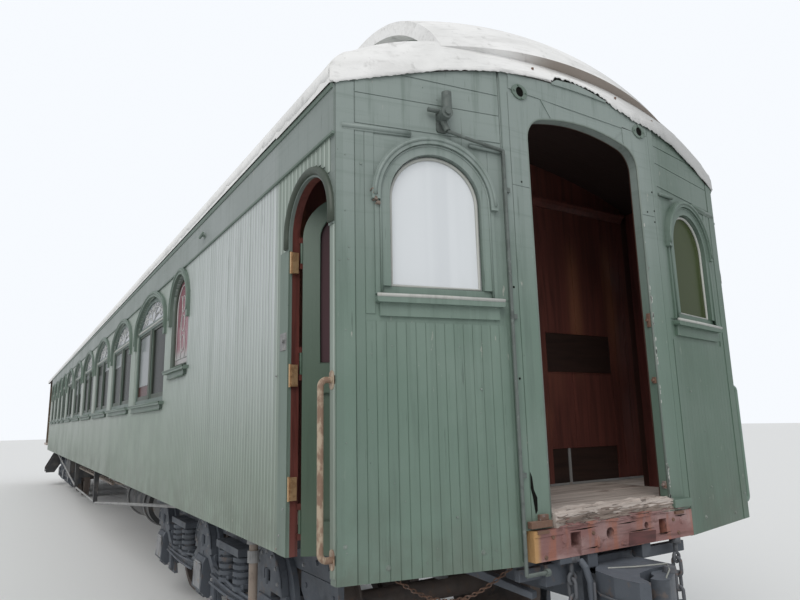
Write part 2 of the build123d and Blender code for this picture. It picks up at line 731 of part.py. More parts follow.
# Round tank with hoops, hung under the left side
with BuildPart() as underfloor_tank:
    tank_x, tank_y, tank_z, tank_r, tank_l = (4600.0, -820.0, 800.0, 270.0, 1700.0)
    with Locations((tank_x, tank_y, tank_z)):
        Cylinder(tank_r, tank_l, rotation=(0, 90, 0))
    for hoop_x in (tank_x - 600, tank_x + 600):
        with Locations((hoop_x, tank_y, tank_z)):
            Cylinder(tank_r + 8, 60, rotation=(0, 90, 0))
        block((hoop_x - 30, tank_y - 100, tank_z), (hoop_x + 30, tank_y + 100, SKIRT_Z))
save(underfloor_tank, "underfloor_tank")

# Equipment boxes under the sides
with BuildPart() as underfloor_boxes:
    for side in (1, -1):
        low_y, high_y = sorted((side * 760, side * 1320))
        block((-3900, low_y, 640), (-2760, high_y, SKIRT_Z))
    block((3100, 760, 660), (3800, 1320, SKIRT_Z))
save(underfloor_boxes, "underfloor_boxes")

# Brake cylinder and air reservoir on hangers
with BuildPart() as brake_gear:
    # columns: start, end, y, z, radius
    for start, end, y, z, radius in (
        (1100.0, 1700.0, -200.0, 860.0, 150.0),
        (-600.0, 800.0, 0.0, 830.0, 200.0),
    ):
        with Locations(((start + end) / 2, y, z)):
            Cylinder(radius, end - start, rotation=(0, 90, 0))
        for hanger_x in (start + 120, end - 120):
            block((hanger_x - 25, y - 140, z), (hanger_x + 25, y + 140, SKIRT_Z))
save(brake_gear, "brake_gear")

# Pipes: a drop pipe at the front left, and the pipe line along the left side
with BuildPart() as underfloor_pipes:
    rod((10100, -1320, SKIRT_Z), (10100, -1320, 480), 27)
    rod((-2600, -1180, 900), (3000, -1180, 900), 22)
    for hanger_x in (-2400.0, 600.0, 2700.0):
        block((hanger_x - 12, -1192, 900), (hanger_x + 12, -1168, SKIRT_Z))
save(underfloor_pipes, "underfloor_pipes")

# Vestibule side with its arched doorway, plan and boards of the left side
with BuildPart() as vestibule_side:
    inner = HALF - VESTIBULE_WALL
    with BuildSketch(Plane.XY.offset(SKIRT_Z)):
        with BuildLine():
            Polyline(
                (FRONT_WALL_X, -HALF),
                (CORNER_X, -HALF),
                (CORNER_X + SLOPE * VESTIBULE_WALL, -inner),
                (FRONT_WALL_X, -inner),
                close=True,
            )
        make_face()
    extrude(amount=EAVE_Z - SKIRT_Z)
    block((FRONT_WALL_X, -HALF - LETTER_PROUD, BELT_Z), (CORNER_X, -HALF, EAVE_Z))
    with BuildSketch(Plane.XZ.offset(HALF)):
        door = (SIDE_DOOR_X, SIDE_DOOR_HALF, SKIRT_Z, SIDE_DOOR_SPRING, SIDE_DOOR_HALF, SIDE_DOOR_HALF)
        arched_outline(SIDE_DOOR_X, 290, 2600, SIDE_DOOR_SPRING, 290, 290)
        with Locations((SIDE_DOOR_X, 2600)):
            Rectangle(2000, 100, mode=Mode.SUBTRACT)
    extrude(amount=LETTER_PROUD)
    with BuildSketch(Plane.XZ.offset(HALF + LETTER_PROUD)):
        arched_outline(*door)
    extrude(amount=-VESTIBULE_WALL - LETTER_PROUD, mode=Mode.SUBTRACT)
    block((CORNER_X - POST, -HALF, PANEL_Z), (CORNER_X, -inner, SKIRT_Z))
    with BuildSketch(Plane.YZ.offset(FRONT_WALL_X)):
        under_roof_arc(SEAT)
        with Locations((-HALF, EAVE_Z / 2)):
            Rectangle(40, EAVE_Z - 14)
    extrude(amount=1000, mode=Mode.INTERSECT)
    pin_x, pin_y = SIDE_HINGE
    lug = ((pin_x - 30, -inner - 5), (pin_x + PIN_R, pin_y + PIN_R))
    hinge_pins(SIDE_HINGE, SIDE_KNUCKLES, KNUCKLE_H, PIN_R, (lug,))
save_pair(vestibule_side, "vestibule_side")

# Angled end panel with a round-headed window, its hood and its sill
along = Vector(run_x / run, run_y / run, 0)
outward = Vector(run_y / run, -run_x / run, 0)
panel_plane = Plane(origin=(CORNER_X, -HALF, 0), x_dir=along, z_dir=outward)
with BuildPart() as vestibule_panel:
    post_x = CORNER_X + SLOPE * VESTIBULE_WALL
    with BuildSketch(Plane.XY.offset(PANEL_Z)):
        with BuildLine():
            Polyline(
                (post_x, VESTIBULE_WALL - HALF),
                (CORNER_X + run_x, -PORTAL_HALF),
                (CORNER_X + run_x - deep, -PORTAL_HALF),
                (post_x - deep, VESTIBULE_WALL - HALF),
                close=True,
            )
        make_face()
    extrude(amount=BAND_CROWN_Z - PANEL_Z)
    with BuildSketch(Plane.YZ.offset(CORNER_X - 200)):
        under_roof_arc(SEAT)
    extrude(amount=1000, mode=Mode.INTERSECT)
    opening = (PANEL_WINDOW_HALF, PANEL_WINDOW_BOTTOM, PANEL_WINDOW_SPRING, PANEL_WINDOW_HALF)
    half, bottom, spring, rise = opening
    # columns: inside growth, outside growth, lowest point, how far it stands out
    for inside, outside, foot, proud in ((0, 50, bottom, 14), (50, 90, spring - 20, 30)):
        with BuildSketch(panel_plane):
            arched_outline(PANEL_WINDOW_S, half, foot + outside, spring, rise, half, grow=outside)
            with BuildSketch(mode=Mode.SUBTRACT):
                arched_outline(PANEL_WINDOW_S, half, foot, spring, rise, half, grow=inside)
        extrude(amount=proud)
    with BuildSketch(panel_plane):
        with Locations((510, bottom - 65)):
            RectangleRounded(650, 30, 10)
    extrude(amount=40)
    with BuildSketch(panel_plane):
        with Locations((510, bottom - 110)):
            Rectangle(610, 60)
    extrude(amount=15)
    with BuildSketch(panel_plane):
        arched_outline(PANEL_WINDOW_S, half, bottom, spring, rise, half)
    extrude(amount=-VESTIBULE_WALL - 1, mode=Mode.SUBTRACT)
save_pair(vestibule_panel, "vestibule_panel")

with BuildPart() as vestibule_glass:
    with BuildSketch(panel_plane.offset(-20)):
        arched_outline(PANEL_WINDOW_S, half, bottom, spring, rise, half, grow=-SEAT)
    extrude(amount=-GLASS_T)
save_pair(vestibule_glass, "vestibule_glass")

# Portal: two posts and an arched head in one plane across the end
with BuildPart() as portal_frame:
    with BuildSketch(Plane.YZ.offset(PORTAL_X - PORTAL_T)):
        with Locations((0, (FLOOR_BOTTOM + BAND_CROWN_Z) / 2)):
            Rectangle(2 * PORTAL_HALF, BAND_CROWN_Z - FLOOR_BOTTOM)
        with BuildSketch(mode=Mode.INTERSECT):
            under_roof_arc(SEAT)
        with BuildSketch(mode=Mode.SUBTRACT):
            arched_outline(
                0,
                PORTAL_OPENING,
                FLOOR_BOTTOM,
                PORTAL_SPRING,
                PORTAL_RISE,
                PORTAL_SIDE_R,
            )
    extrude(amount=PORTAL_T)
save(portal_frame, "portal_frame")

# Grab rail on the outer face of each front corner post
RAIL_X = CORNER_X - POST / 2
RAIL_PROUD = 60.0
RAIL_ENDS = (1202.0, 1943.0)
with BuildPart() as rail:
    foot_y = -HALF - SEAT
    with BuildLine() as rail_path:
        FilletPolyline(
            (RAIL_X, foot_y, RAIL_ENDS[0]),
            (RAIL_X, -HALF - RAIL_PROUD, RAIL_ENDS[0]),
            (RAIL_X, -HALF - RAIL_PROUD, RAIL_ENDS[1]),
            (RAIL_X, foot_y, RAIL_ENDS[1]),
            radius=30,
        )
    with BuildSketch(Plane(origin=(RAIL_X, foot_y, RAIL_ENDS[0]), z_dir=(0, -1, 0))):
        Circle(14)
    sweep()
    with BuildSketch(Plane.XZ.offset(-foot_y)):
        for foot_z in RAIL_ENDS:
            with Locations((RAIL_X, foot_z)):
                SlotOverall(84, 46, rotation=90)
    extrude(amount=8)
grab_rails = mirrored(rail)
save(grab_rails, "grab_rails")

# Lamp bracket on the left panel, its pipe to the portal and the pipe down the portal
PIPE_R = 9.0
PIPE_AT = (PORTAL_X + 16.0, -PORTAL_HALF - 12.0)
PIPE_TOP, PIPE_LOW = (3107.0, 1062.0)
with BuildPart() as lamp_bracket:
    with BuildSketch(panel_plane.offset(SEAT)):
        with Locations((545, 3225)):
            RectangleRounded(60, 120, 14)
    extrude(amount=10)
    # columns: start and end as place along the panel, height and reach, then radius
    for start, end, radius in (
        ((560, 3265, 45), (560, 3366, 45), 25.0),
        ((545, 3242, 5), (545, 3242, 84), 30.0),
        ((545, 3242, 84), (545, 3242, 94), 15.0),
        ((545, 3264, 32), (462, 3268, 32), 11.0),
        ((545, 3215, 30), (558, 3160, 45), 16.0),
        ((558, 3160, 45), (690, 3136, 36), PIPE_R),
    ):
        start_at = panel_plane.from_local_coords(Vector(*start))
        end_at = panel_plane.from_local_coords(Vector(*end))
        rod(start_at, end_at, radius)
    rod(end_at, (*PIPE_AT, PIPE_TOP), PIPE_R)
    rod((*PIPE_AT, PIPE_TOP), (*PIPE_AT, PIPE_LOW), PIPE_R)
    rod((*PIPE_AT, PIPE_LOW), (PIPE_AT[0], -515, PIPE_LOW), PIPE_R)
    rod((PIPE_AT[0], -515, PIPE_LOW), (PIPE_AT[0], -495, PIPE_LOW), 17)
    for clip_z in (1500.0, 2250.0, 2900.0):
        clip_low = (PORTAL_X + SEAT, PIPE_AT[1], clip_z - 12)
        block(clip_low, (PIPE_AT[0], PIPE_AT[1] + 34, clip_z + 12))
save(lamp_bracket, "lamp_bracket")


LINK_L = 110.0
LINK_W = 64.0
LINK_T = 16.0


def chain_link(middle, across):
    """One flat oblong link, standing on its end."""
    with BuildSketch(Plane(origin=middle, x_dir=(0, 1, 0), z_dir=(1, 0, 0))) as section:
        SlotOverall(LINK_L, LINK_W, rotation=90)
        SlotOverall(LINK_L - 2 * LINK_T, LINK_W - 2 * LINK_T, rotation=90, mode=Mode.SUBTRACT)
    if across:
        turned = section.sketch.rotate(Axis(middle, (0, 0, 1)), 90)
        extrude(turned, amount=LINK_T / 2, both=True)
    else:
        extrude(section.sketch, amount=LINK_T / 2, both=True)


# Safety chains hanging each side of the couplers
LINK_PITCH = 73.3
CHAIN_Z = 1020.0
with BuildPart() as chains_front:
    for chain_y in (-340.0, 450.0):
        chain_x = BEAM_X - 24
        block((chain_x - 9, chain_y - 8, CHAIN_Z), (chain_x + 9, chain_y + 8, BEAM_Z[0]))
        for link in range(6):
            link_z = CHAIN_Z - LINK_L / 2 - link * LINK_PITCH
            chain_link((chain_x, chain_y, link_z), across=link % 2 == 0)
with BuildPart() as safety_chains:
    add(chains_front.part)
    mirror(chains_front.part, about=Plane.YZ)
save(safety_chains, "safety_chains")

# Rear platform: floor, steps, railing with posts, gates and brake wheel
STEP_X = (-10200.0, REAR_WALL_X)
RAIL_Y = 1400.0
with BuildPart() as rear_platform_floor:
    with BuildSketch(Plane.XY.offset(FLOOR_BOTTOM)):
        with BuildLine():
            Polyline(
                (REAR_WALL_X - SEAT, -WELL_Y),
                (STEP_X[0], -WELL_Y),
                (STEP_X[0], -HALF),
                (-CORNER_X, -HALF),
                (-BEAM_X, -PORTAL_HALF),
                (-BEAM_X, PORTAL_HALF),
                (-CORNER_X, HALF),
                (STEP_X[0], HALF),
                (STEP_X[0], WELL_Y),
                (REAR_WALL_X - SEAT, WELL_Y),
                close=True,
            )
        make_face()
    extrude(amount=FLOOR_T)
save(rear_platform_floor, "rear_platform_floor")

STEP_FOOT_Z = 420.0
STEP_OUT_Y = 1480.0
STRINGER_T = 40.0
TREAD_COUNT = 4
TREAD_RISE = 215.0
TREAD_RUN = 130.0
TREAD_DEPTH = 240.0
TREAD_T = 35.0
with BuildPart() as steps_left:
    low_x, high_x = (STEP_X[0] + 20, STEP_X[1] - 20)
    for x in (low_x, high_x - STRINGER_T):
        with BuildSketch(Plane.YZ.offset(x)):
            with BuildLine():
                Polyline(
                    (-WELL_Y - SEAT, FLOOR_Z),
                    (-WELL_Y - SEAT, 1000),
                    (-STEP_OUT_Y + TREAD_DEPTH, STEP_FOOT_Z),
                    (-STEP_OUT_Y, STEP_FOOT_Z),
                    (-STEP_OUT_Y, STEP_FOOT_Z + 140),
                    (-1100, FLOOR_Z),
                    close=True,
                )
            make_face()
        extrude(amount=STRINGER_T)
    for tread in range(TREAD_COUNT):
        tread_z = STEP_FOOT_Z + 30 + TREAD_RISE * tread
        tread_y = 10 - STEP_OUT_Y + TREAD_RUN * tread
        block((low_x, tread_y, tread_z), (high_x, tread_y + TREAD_DEPTH, tread_z + TREAD_T))
rear_steps = mirrored(steps_left)
save(rear_steps, "rear_steps")

RAILING_TOP = 2200.0
BALUSTER_PITCH = 130.0
with BuildPart() as railing_left:
    post_z = FLOOR_Z + (RAILING_TOP + 60 - FLOOR_Z) / 2
    post_l = RAILING_TOP + 60 - FLOOR_Z
    corner = (-CORNER_X + 60, -RAIL_Y)
    start = (STEP_X[0] - 60, -RAIL_Y)
    end_point = (-BEAM_X + 60, -PORTAL_HALF)
    middle_point = (-BEAM_X + 60, 0)
    gate_post = (STEP_X[0] - 30, 25 - WELL_Y)
    for post_x, post_y in (corner, start):
        top = band_arc_z(abs(post_y) + 40) - SEAT
        block((post_x - 40, post_y - 40, FLOOR_Z), (post_x + 40, post_y + 40, top))
    for (post_x, post_y), post_r in ((gate_post, 20), (end_point, 26)):
        with Locations((post_x, post_y, post_z)):
            Cylinder(post_r, post_l)
    spans = ((gate_post, start), (start, corner), (corner, end_point), (end_point, middle_point))
    for a, b in spans:
        for rail_z, radius in ((FLOOR_Z + 120, 14), (RAILING_TOP - 120, 14), (RAILING_TOP, 22)):
            rod((a[0], a[1], rail_z), (b[0], b[1], rail_z), radius)
        gap = hypot(b[0] - a[0], b[1] - a[1])
        count = int(gap / BALUSTER_PITCH)
        for bar in range(1, count):
            share = bar / count
            bar_x, bar_y = (a[0] + (b[0] - a[0]) * share, a[1] + (b[1] - a[1]) * share)
            rod((bar_x, bar_y, FLOOR_Z), (bar_x, bar_y, RAILING_TOP), 9)
rear_railing = mirrored(railing_left)
save(rear_railing, "rear_railing")

WHEEL_R = 180.0
with BuildPart() as brake_wheel:
    wheel_x, wheel_y, staff_top = (-BEAM_X + 330, 620.0, 2280.0)
    with Locations((wheel_x, wheel_y, (FLOOR_Z + staff_top) / 2)):
        Cylinder(18, staff_top - FLOOR_Z)
    with Locations((wheel_x, wheel_y, staff_top - 10)):
        Torus(WHEEL_R, 16)
        Cylinder(40, 40)
        for spoke in range(4):
            Box(2 * WHEEL_R, 20, 14, rotation=(0, 0, 45 * spoke))
save(brake_wheel, "brake_wheel")

with BuildPart() as rear_gate:
    gate_x = (STEP_X[0], REAR_WALL_X - 40)
    hinge_x, gate_y = GATE_HINGE
    for rail_z in GATE_KNUCKLES:
        low_z, high_z = rail_z - GATE_KNUCKLE_H / 2, rail_z + GATE_KNUCKLE_H / 2
        block((gate_x[0], gate_y - 12, low_z), (gate_x[1], gate_y + 12, high_z))
        block((gate_x[1], gate_y - 6, low_z + 5), (hinge_x, gate_y + 6, high_z - 5))
        with Locations((hinge_x, gate_y, rail_z)):
            Cylinder(GATE_KNUCKLE_R, GATE_KNUCKLE_H)
            Cylinder(GATE_PIN_R + PIN_FIT, GATE_KNUCKLE_H, mode=Mode.SUBTRACT)
    bar_z = [z + GATE_KNUCKLE_H / 2 * step for z, step in zip(GATE_KNUCKLES, (1, -1))]
    for bar in range(GATE_BARS):
        bar_x = gate_x[0] + 15 + bar * (gate_x[1] - gate_x[0] - 30) / (GATE_BARS - 1)
        block((bar_x - 10, gate_y - 10, bar_z[0]), (bar_x + 10, gate_y + 10, bar_z[1]))
save_pair(rear_gate, "rear_gate")

# Vestibule door leaf, standing open: built on its own plane from the hinge line
turn = radians(SIDE_DOOR_OPEN)
leaf_x, leaf_out = Vector(cos(turn), sin(turn), 0), Vector(sin(turn), -cos(turn), 0)
leaf_face = KNUCKLE_R + SEAT - SWING_GAP
leaf_plane = Plane(origin=(SIDE_HINGE[0], SIDE_HINGE[1], 0), x_dir=leaf_x, z_dir=leaf_out)
with BuildPart() as vestibule_door:
    leaf_far = 2 * SIDE_DOOR_HALF - KNUCKLE_R - SWING_GAP
    leaf_near = KNUCKLE_R - 2
    leaf_half = (leaf_far - leaf_near) / 2
    leaf_middle = leaf_near + leaf_half
    with BuildSketch(leaf_plane.offset(leaf_face)):
        arched_outline(leaf_middle, leaf_half, SKIRT_Z, SIDE_DOOR_SPRING, leaf_half, leaf_half)
    extrude(amount=-LEAF_T)
    light = leaf_half - LEAF_STILE
    with BuildSketch(leaf_plane.offset(leaf_face)):
        arched_outline(leaf_middle, light, 2060, SIDE_DOOR_SPRING, light, light)
    extrude(amount=-LEAF_T, mode=Mode.SUBTRACT)
    for face in (leaf_face, leaf_face - LEAF_T + PANEL_RECESS):
        with BuildSketch(leaf_plane.offset(face)):
            with Locations((leaf_middle, 1600)):
                Rectangle(2 * light, 620)
        extrude(amount=-PANEL_RECESS, mode=Mode.SUBTRACT)
    for knuckle_z in SIDE_KNUCKLES:
        with Locations(leaf_plane):
            with Locations((0, knuckle_z, 0)):
                Cylinder(KNUCKLE_R, KNUCKLE_H, rotation=(90, 0, 0))
                Cylinder(PIN_R + PIN_FIT, KNUCKLE_H, rotation=(90, 0, 0), mode=Mode.SUBTRACT)
save_pair(vestibule_door, "vestibule_door")


def body_door(end, wall_x):
    """A body door closed in its end wall, hinged to swing into the cabin."""
    gap = KNUCKLE_R
    hinge_x = wall_x - end * (END_WALL + BODY_HINGE_DEEP)
    with BuildPart() as built:
        near_x = hinge_x + end * (KNUCKLE_R - 2)
        low_x, high_x = sorted((near_x, near_x + end * 45))
        low = (low_x, -BODY_DOOR_HALF + gap, FLOOR_Z + SWING_GAP)
        block(low, (high_x, BODY_DOOR_HALF - gap, BODY_DOOR_TOP - gap))
        light_y = BODY_DOOR_HALF - 120
        block((low_x, -light_y, 2150), (high_x, light_y, 3040), mode=Mode.SUBTRACT)
        for face_x in (low_x, high_x - PANEL_RECESS):
            panel_low = (face_x, -light_y, 1450)
            block(panel_low, (face_x + PANEL_RECESS, light_y, 2020), mode=Mode.SUBTRACT)
        for knuckle_z in BODY_KNUCKLES:
            with Locations((hinge_x, BODY_HINGE_Y, knuckle_z)):
                Cylinder(KNUCKLE_R, KNUCKLE_H)
                Cylinder(PIN_R + PIN_FIT, KNUCKLE_H, mode=Mode.SUBTRACT)
    return built


save(body_door(1, FRONT_WALL_X), "front_body_door")
save(body_door(-1, REAR_WALL_X), "rear_body_door")


def wheelset(x, z):
    """An axle turned with its two wheels: hub, plate, rim, tread and flange."""
    # columns: distance from the centre line, radius
    outline = (
        (0, 75),
        (WHEEL_IN - 20, AXLE_R),
        (WHEEL_IN - 20, 125),
        (WHEEL_IN + 35, 130),
        (WHEEL_IN + 45, TREAD_R - 60),
        (WHEEL_IN, TREAD_R - 60),
        (WHEEL_IN, TREAD_R + 12),
        (WHEEL_IN + 8, TREAD_R + FLANGE_H),
        (WHEEL_IN + 22, TREAD_R + FLANGE_H),
        (WHEEL_IN + 34, TREAD_R),
        (WHEEL_OUT, TREAD_R - 3),
        (WHEEL_OUT, TREAD_R - 60),
        (WHEEL_OUT - 50, TREAD_R - 60),
        (WHEEL_OUT - 40, 130),
        (WHEEL_OUT + 25, 120),
        (WHEEL_OUT + 25, JOURNAL_R),
        (JOURNAL_END, JOURNAL_R),
    )
    points = [(-y, r) for y, r in reversed(outline)] + list(outline[1:])
    with BuildPart() as built:
        with BuildSketch(Plane(origin=(x, 0, z), x_dir=(0, 1, 0), z_dir=(1, 0, 0))):
            with BuildLine():
                Polyline((-JOURNAL_END, 0), *points, (JOURNAL_END, 0), close=True)
            make_face()
        revolve(axis=Axis((x, 0, z), (0, 1, 0)))
    return built


def truck_frame(x):
    """Wheelpieces, end pieces and transoms, with the arched pedestals bolted on."""
    low_z, high_z = WHEELPIECE_Z
    with BuildPart() as pedestals:
        with BuildSketch(Plane.XZ.offset(WHEELPIECE[1])):
            for axle in (-1, 0, 1):
                pedestal_outline(x + axle * AXLE_PITCH)
        extrude(amount=PEDESTAL_T)
    with BuildPart() as built:
        for side in (1, -1):
            low_y, high_y = sorted((side * WHEELPIECE[0], side * WHEELPIECE[1]))
            block((x - WHEELPIECE_HALF, low_y, low_z), (x + WHEELPIECE_HALF, high_y, high_z))
        reach = WHEELPIECE[0]
        for end in (1, -1):
            end_x = x + end * (WHEELPIECE_HALF - END_PIECE_HALF - 20)
            end_low = (end_x - END_PIECE_HALF, -reach, low_z)
            block(end_low, (end_x + END_PIECE_HALF, reach, high_z))
            for offset in TRANSOMS:
                low_x, high_x = (x + end * offset - TRANSOM_HALF, x + end * offset + TRANSOM_HALF)
                block((low_x, -reach, low_z), (high_x, reach, TRANSOM_TOP))
        add(pedestals.part)
        mirror(pedestals.part, about=Plane.XZ)
    return built


def pedestal_outline(x):
    """A tombstone plate with a window, jaws for the box and spread feet."""
    half, foot, jaw_top = PEDESTAL_HALF, AXLE_Z - 230, AXLE_Z + BOX_UP + 30
    spring, shoulder = PEDESTAL_TOP - 300, (half * 0.72, PEDESTAL_TOP - 85)
    with BuildLine() as outline:
        Polyline(
            (x - half, spring),
            (x - half + 60, foot + 90),
            (x - half + 20, foot),
            (x - JAW_HALF, foot),
            (x - JAW_HALF, jaw_top),
            (x + JAW_HALF, jaw_top),
            (x + JAW_HALF, foot),
            (x + half - 20, foot),
            (x + half - 60, foot + 90),
            (x + half, spring),
        )
        ThreePointArc((x + half, spring), (x + shoulder[0], shoulder[1]), (x, PEDESTAL_TOP))
        ThreePointArc((x, PEDESTAL_TOP), (x - shoulder[0], shoulder[1]), (x - half, spring))
    make_face(outline.edges())
    with Locations((x, AXLE_Z + BOX_UP + 110)):
        RectangleRounded(110, 90, 15, mode=Mode.SUBTRACT)


def truck_bolster(x):
    """Two cross bolsters and the bridge that carries the centre plate."""
    near, far = TRANSOMS
    reach = (far - near) / 2 - TRANSOM_HALF - SEAT
    bolster_y = WHEELPIECE[0] - 50
    bridge_x = far + 10
    plate_t = CENTRE_PLATE_Z - SEAT - BRIDGE_Z[1]
    with BuildPart() as built:
        for end in (1, -1):
            bolster_x = x + end * (near + far) / 2
            bolster_low = (bolster_x - reach, -bolster_y, BOLSTER_LOW)
            block(bolster_low, (bolster_x + reach, bolster_y, BRIDGE_Z[0]))
        bridge_low = (x - bridge_x, -BRIDGE_HALF, BRIDGE_Z[0])
        block(bridge_low, (x + bridge_x, BRIDGE_HALF, BRIDGE_Z[1]))
        with Locations((x, 0, BRIDGE_Z[1] + plate_t / 2)):
            Cylinder(180, plate_t)
    return built


def journal_boxes(x):
    """Oil boxes round the axle ends, each with a sloped lid."""
    bevel = 60.0
    with BuildPart() as built:
        for axle in (-1, 0, 1):
            axle_x = x + axle * AXLE_PITCH
            with BuildSketch(Plane.YZ.offset(axle_x - BOX_HALF)):
                with BuildLine():
                    low, high = AXLE_Z - BOX_DOWN, AXLE_Z + BOX_UP
                    Polyline(
                        (-BOX[0], low),
                        (-BOX[1] + bevel, low),
                        (-BOX[1], low + bevel),
                        (-BOX[1] + bevel / 3, high - 2 * bevel / 3),
                        (-BOX[1] + 2 * bevel / 3, high),
                        (-BOX[0], high),
                        close=True,
                    )
                make_face()
            extrude(amount=2 * BOX_HALF)
            with BuildSketch(Plane.XZ.offset(BOX[0])):
                with Locations((axle_x, AXLE_Z)):
                    Circle(JOURNAL_R + JOURNAL_FIT)
            extrude(amount=JOURNAL_END + SEAT - BOX[0], mode=Mode.SUBTRACT)
    return mirrored(built)


def truck_springs(x):
    """Equalizer bars resting on the boxes, with spring nests under the frame."""
    top = AXLE_Z + BOX_UP + SEAT
    upper, low_top = top + EQUALIZER_T, top + EQUALIZER_T - EQUALIZER_DIP - 40
    nest_y = 30 - (EQUALIZER[0] + EQUALIZER[1]) / 2
    cap_top = WHEELPIECE_Z[0] - SEAT
    cap_foot = cap_top - 55
    with BuildPart() as built:
        for end in (1, -1):
            # columns: place along the truck and height, round the outline of one bar
            outline = (
                (AXLE_PITCH + 60, top),
                (AXLE_PITCH + 60, upper),
                (AXLE_PITCH - 170, upper),
                (AXLE_PITCH - 420, low_top),
                (420, low_top),
                (170, upper),
                (10, upper),
                (10, top),
                (150, top),
                (400, low_top - 80),
                (AXLE_PITCH - 400, low_top - 80),
                (AXLE_PITCH - 150, top),
            )
            with BuildSketch(Plane.XZ.offset(EQUALIZER[0])):
                with BuildLine():
                    Polyline(*[(x + end * along, z) for along, z in outline], close=True)
                make_face()
            extrude(amount=EQUALIZER[1] - EQUALIZER[0])
            for spring_x in SPRING_XS:
                nest_x = x + end * spring_x
                for ring in range(RING_COUNT):
                    ring_z = low_top + RING_T / 2 + 10 + ring * RING_PITCH
                    with Locations((nest_x, nest_y, ring_z)):
                        Cylinder(SPRING_R, RING_T)
                with Locations((nest_x, nest_y, (low_top + cap_foot) / 2)):
                    Cylinder(SPRING_R - 25, cap_foot - low_top)
            cap_low, cap_high = sorted((x + end * (SPRING_XS[0] - 100), x + end * (SPRING_XS[1] + 100)))
            block((cap_low, nest_y - SPRING_R, cap_foot), (cap_high, 30 - WHEELPIECE[1], cap_top))
    return mirrored(built)


for truck, truck_x in TRUCK_XS:
    save(truck_frame(truck_x), truck + "_truck_frame")
    save(truck_bolster(truck_x), truck + "_truck_bolster")
    save(journal_boxes(truck_x), truck + "_journal_boxes")
    save(truck_springs(truck_x), truck + "_truck_springs")
    for number in (1, 2, 3):
        axle_x = truck_x + (2 - number) * AXLE_PITCH
        save(wheelset(axle_x, AXLE_Z), truck + "_wheelset_" + str(number))
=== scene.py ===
import random
from math import atan2, cos, hypot, pi, radians, sin, sqrt

import bmesh
import bpy
from mathutils import Matrix, Vector


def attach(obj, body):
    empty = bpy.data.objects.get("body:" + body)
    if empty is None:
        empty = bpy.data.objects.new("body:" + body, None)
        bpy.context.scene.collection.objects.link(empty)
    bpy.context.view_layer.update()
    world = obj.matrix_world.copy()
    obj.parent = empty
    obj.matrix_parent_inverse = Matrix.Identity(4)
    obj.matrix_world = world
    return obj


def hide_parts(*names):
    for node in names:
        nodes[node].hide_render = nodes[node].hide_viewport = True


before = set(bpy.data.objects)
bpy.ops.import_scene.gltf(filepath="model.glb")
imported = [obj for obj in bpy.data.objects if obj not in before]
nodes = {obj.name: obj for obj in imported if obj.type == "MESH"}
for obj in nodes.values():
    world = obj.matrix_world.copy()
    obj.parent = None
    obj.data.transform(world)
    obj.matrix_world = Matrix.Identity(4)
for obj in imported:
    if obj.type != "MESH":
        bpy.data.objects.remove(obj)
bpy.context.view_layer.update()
chance = random.Random(7)

# Sizes and places in metres, in the part's own frame: X along the car, -Y the side shown
HALF = 1.485
SKIRT_Z = 1.130
PANEL_Z = 1.100
BELT_Z = 3.100
EAVE_Z = 3.350
FLOOR_Z = 1.315
LETTER_PROUD = 0.010
FRONT_WALL_X = 10.900
REAR_WALL_X = -9.400
CORNER_X = 11.600
PORTAL_X = 11.784
BEAM_X = 11.813
PORTAL_HALF = 0.620
PORTAL_OPENING = 0.443
SIDE_DOOR_X = 11.310
SIDE_DOOR_HALF = 0.240
SIDE_DOOR_SPRING = 2.720
BOARD_PITCH = 0.050
BOARD_T = 0.004
BOARD_TOP = BELT_Z - 0.014
DOOR_HEAD_Z = 2.660
ROOF_EDGE_Y = 1.515
TRUCK_XS = (("front", 8.250), ("rear", -6.750))
AXLE_PITCH = 1.600
AXLE_Z = 0.5105

# Side windows: middle, half width, bottom, spring, rise, side radius of the arch
windows = [(8.557, 0.300, 2.240, 2.750, 0.300, 0.300)]
for bay in range(6):
    windows.append((7.215 - bay * 1.910, 0.770, 1.990, 2.720, 0.360, 0.220))
for bay in range(4):
    windows.append((-4.010 - bay * 1.410, 0.535, 1.990, 2.720, 0.360, 0.220))
HOOD_WIDE = 0.056
SILL_LUG = 0.075
APRON_LOW = 0.072
TRANSOM_Z = 2.790
BAR = 0.066
STILE = 0.050
MULLION_HALF = 0.045


def sash_depth(half):
    return 0.055 if half < 0.5 else 0.014


class Face:
    """A flat face of the car: a along u, b along v, n outwards."""

    def __init__(self, origin, u, v, out):
        self.origin, self.u, self.v, self.out = Vector(origin), Vector(u), Vector(v), Vector(out)
        for way in (self.u, self.v, self.out):
            way.normalize()
        self.sign = 1 if self.u.cross(self.v).dot(self.out) > 0 else -1

    def at(self, a, b, n=0.0):
        return self.origin + self.u * a + self.v * b + self.out * n


UP = (0, 0, 1)


def side_plane(side, y, x=0.0):
    """A face along the car, at a distance y from the middle."""
    return Face((x, side * y, 0), (1, 0, 0), UP, (0, side, 0))


def end_plane(x, out=1):
    """A face across the car."""
    return Face((x, 0, 0), (0, 1, 0), UP, (out, 0, 0))


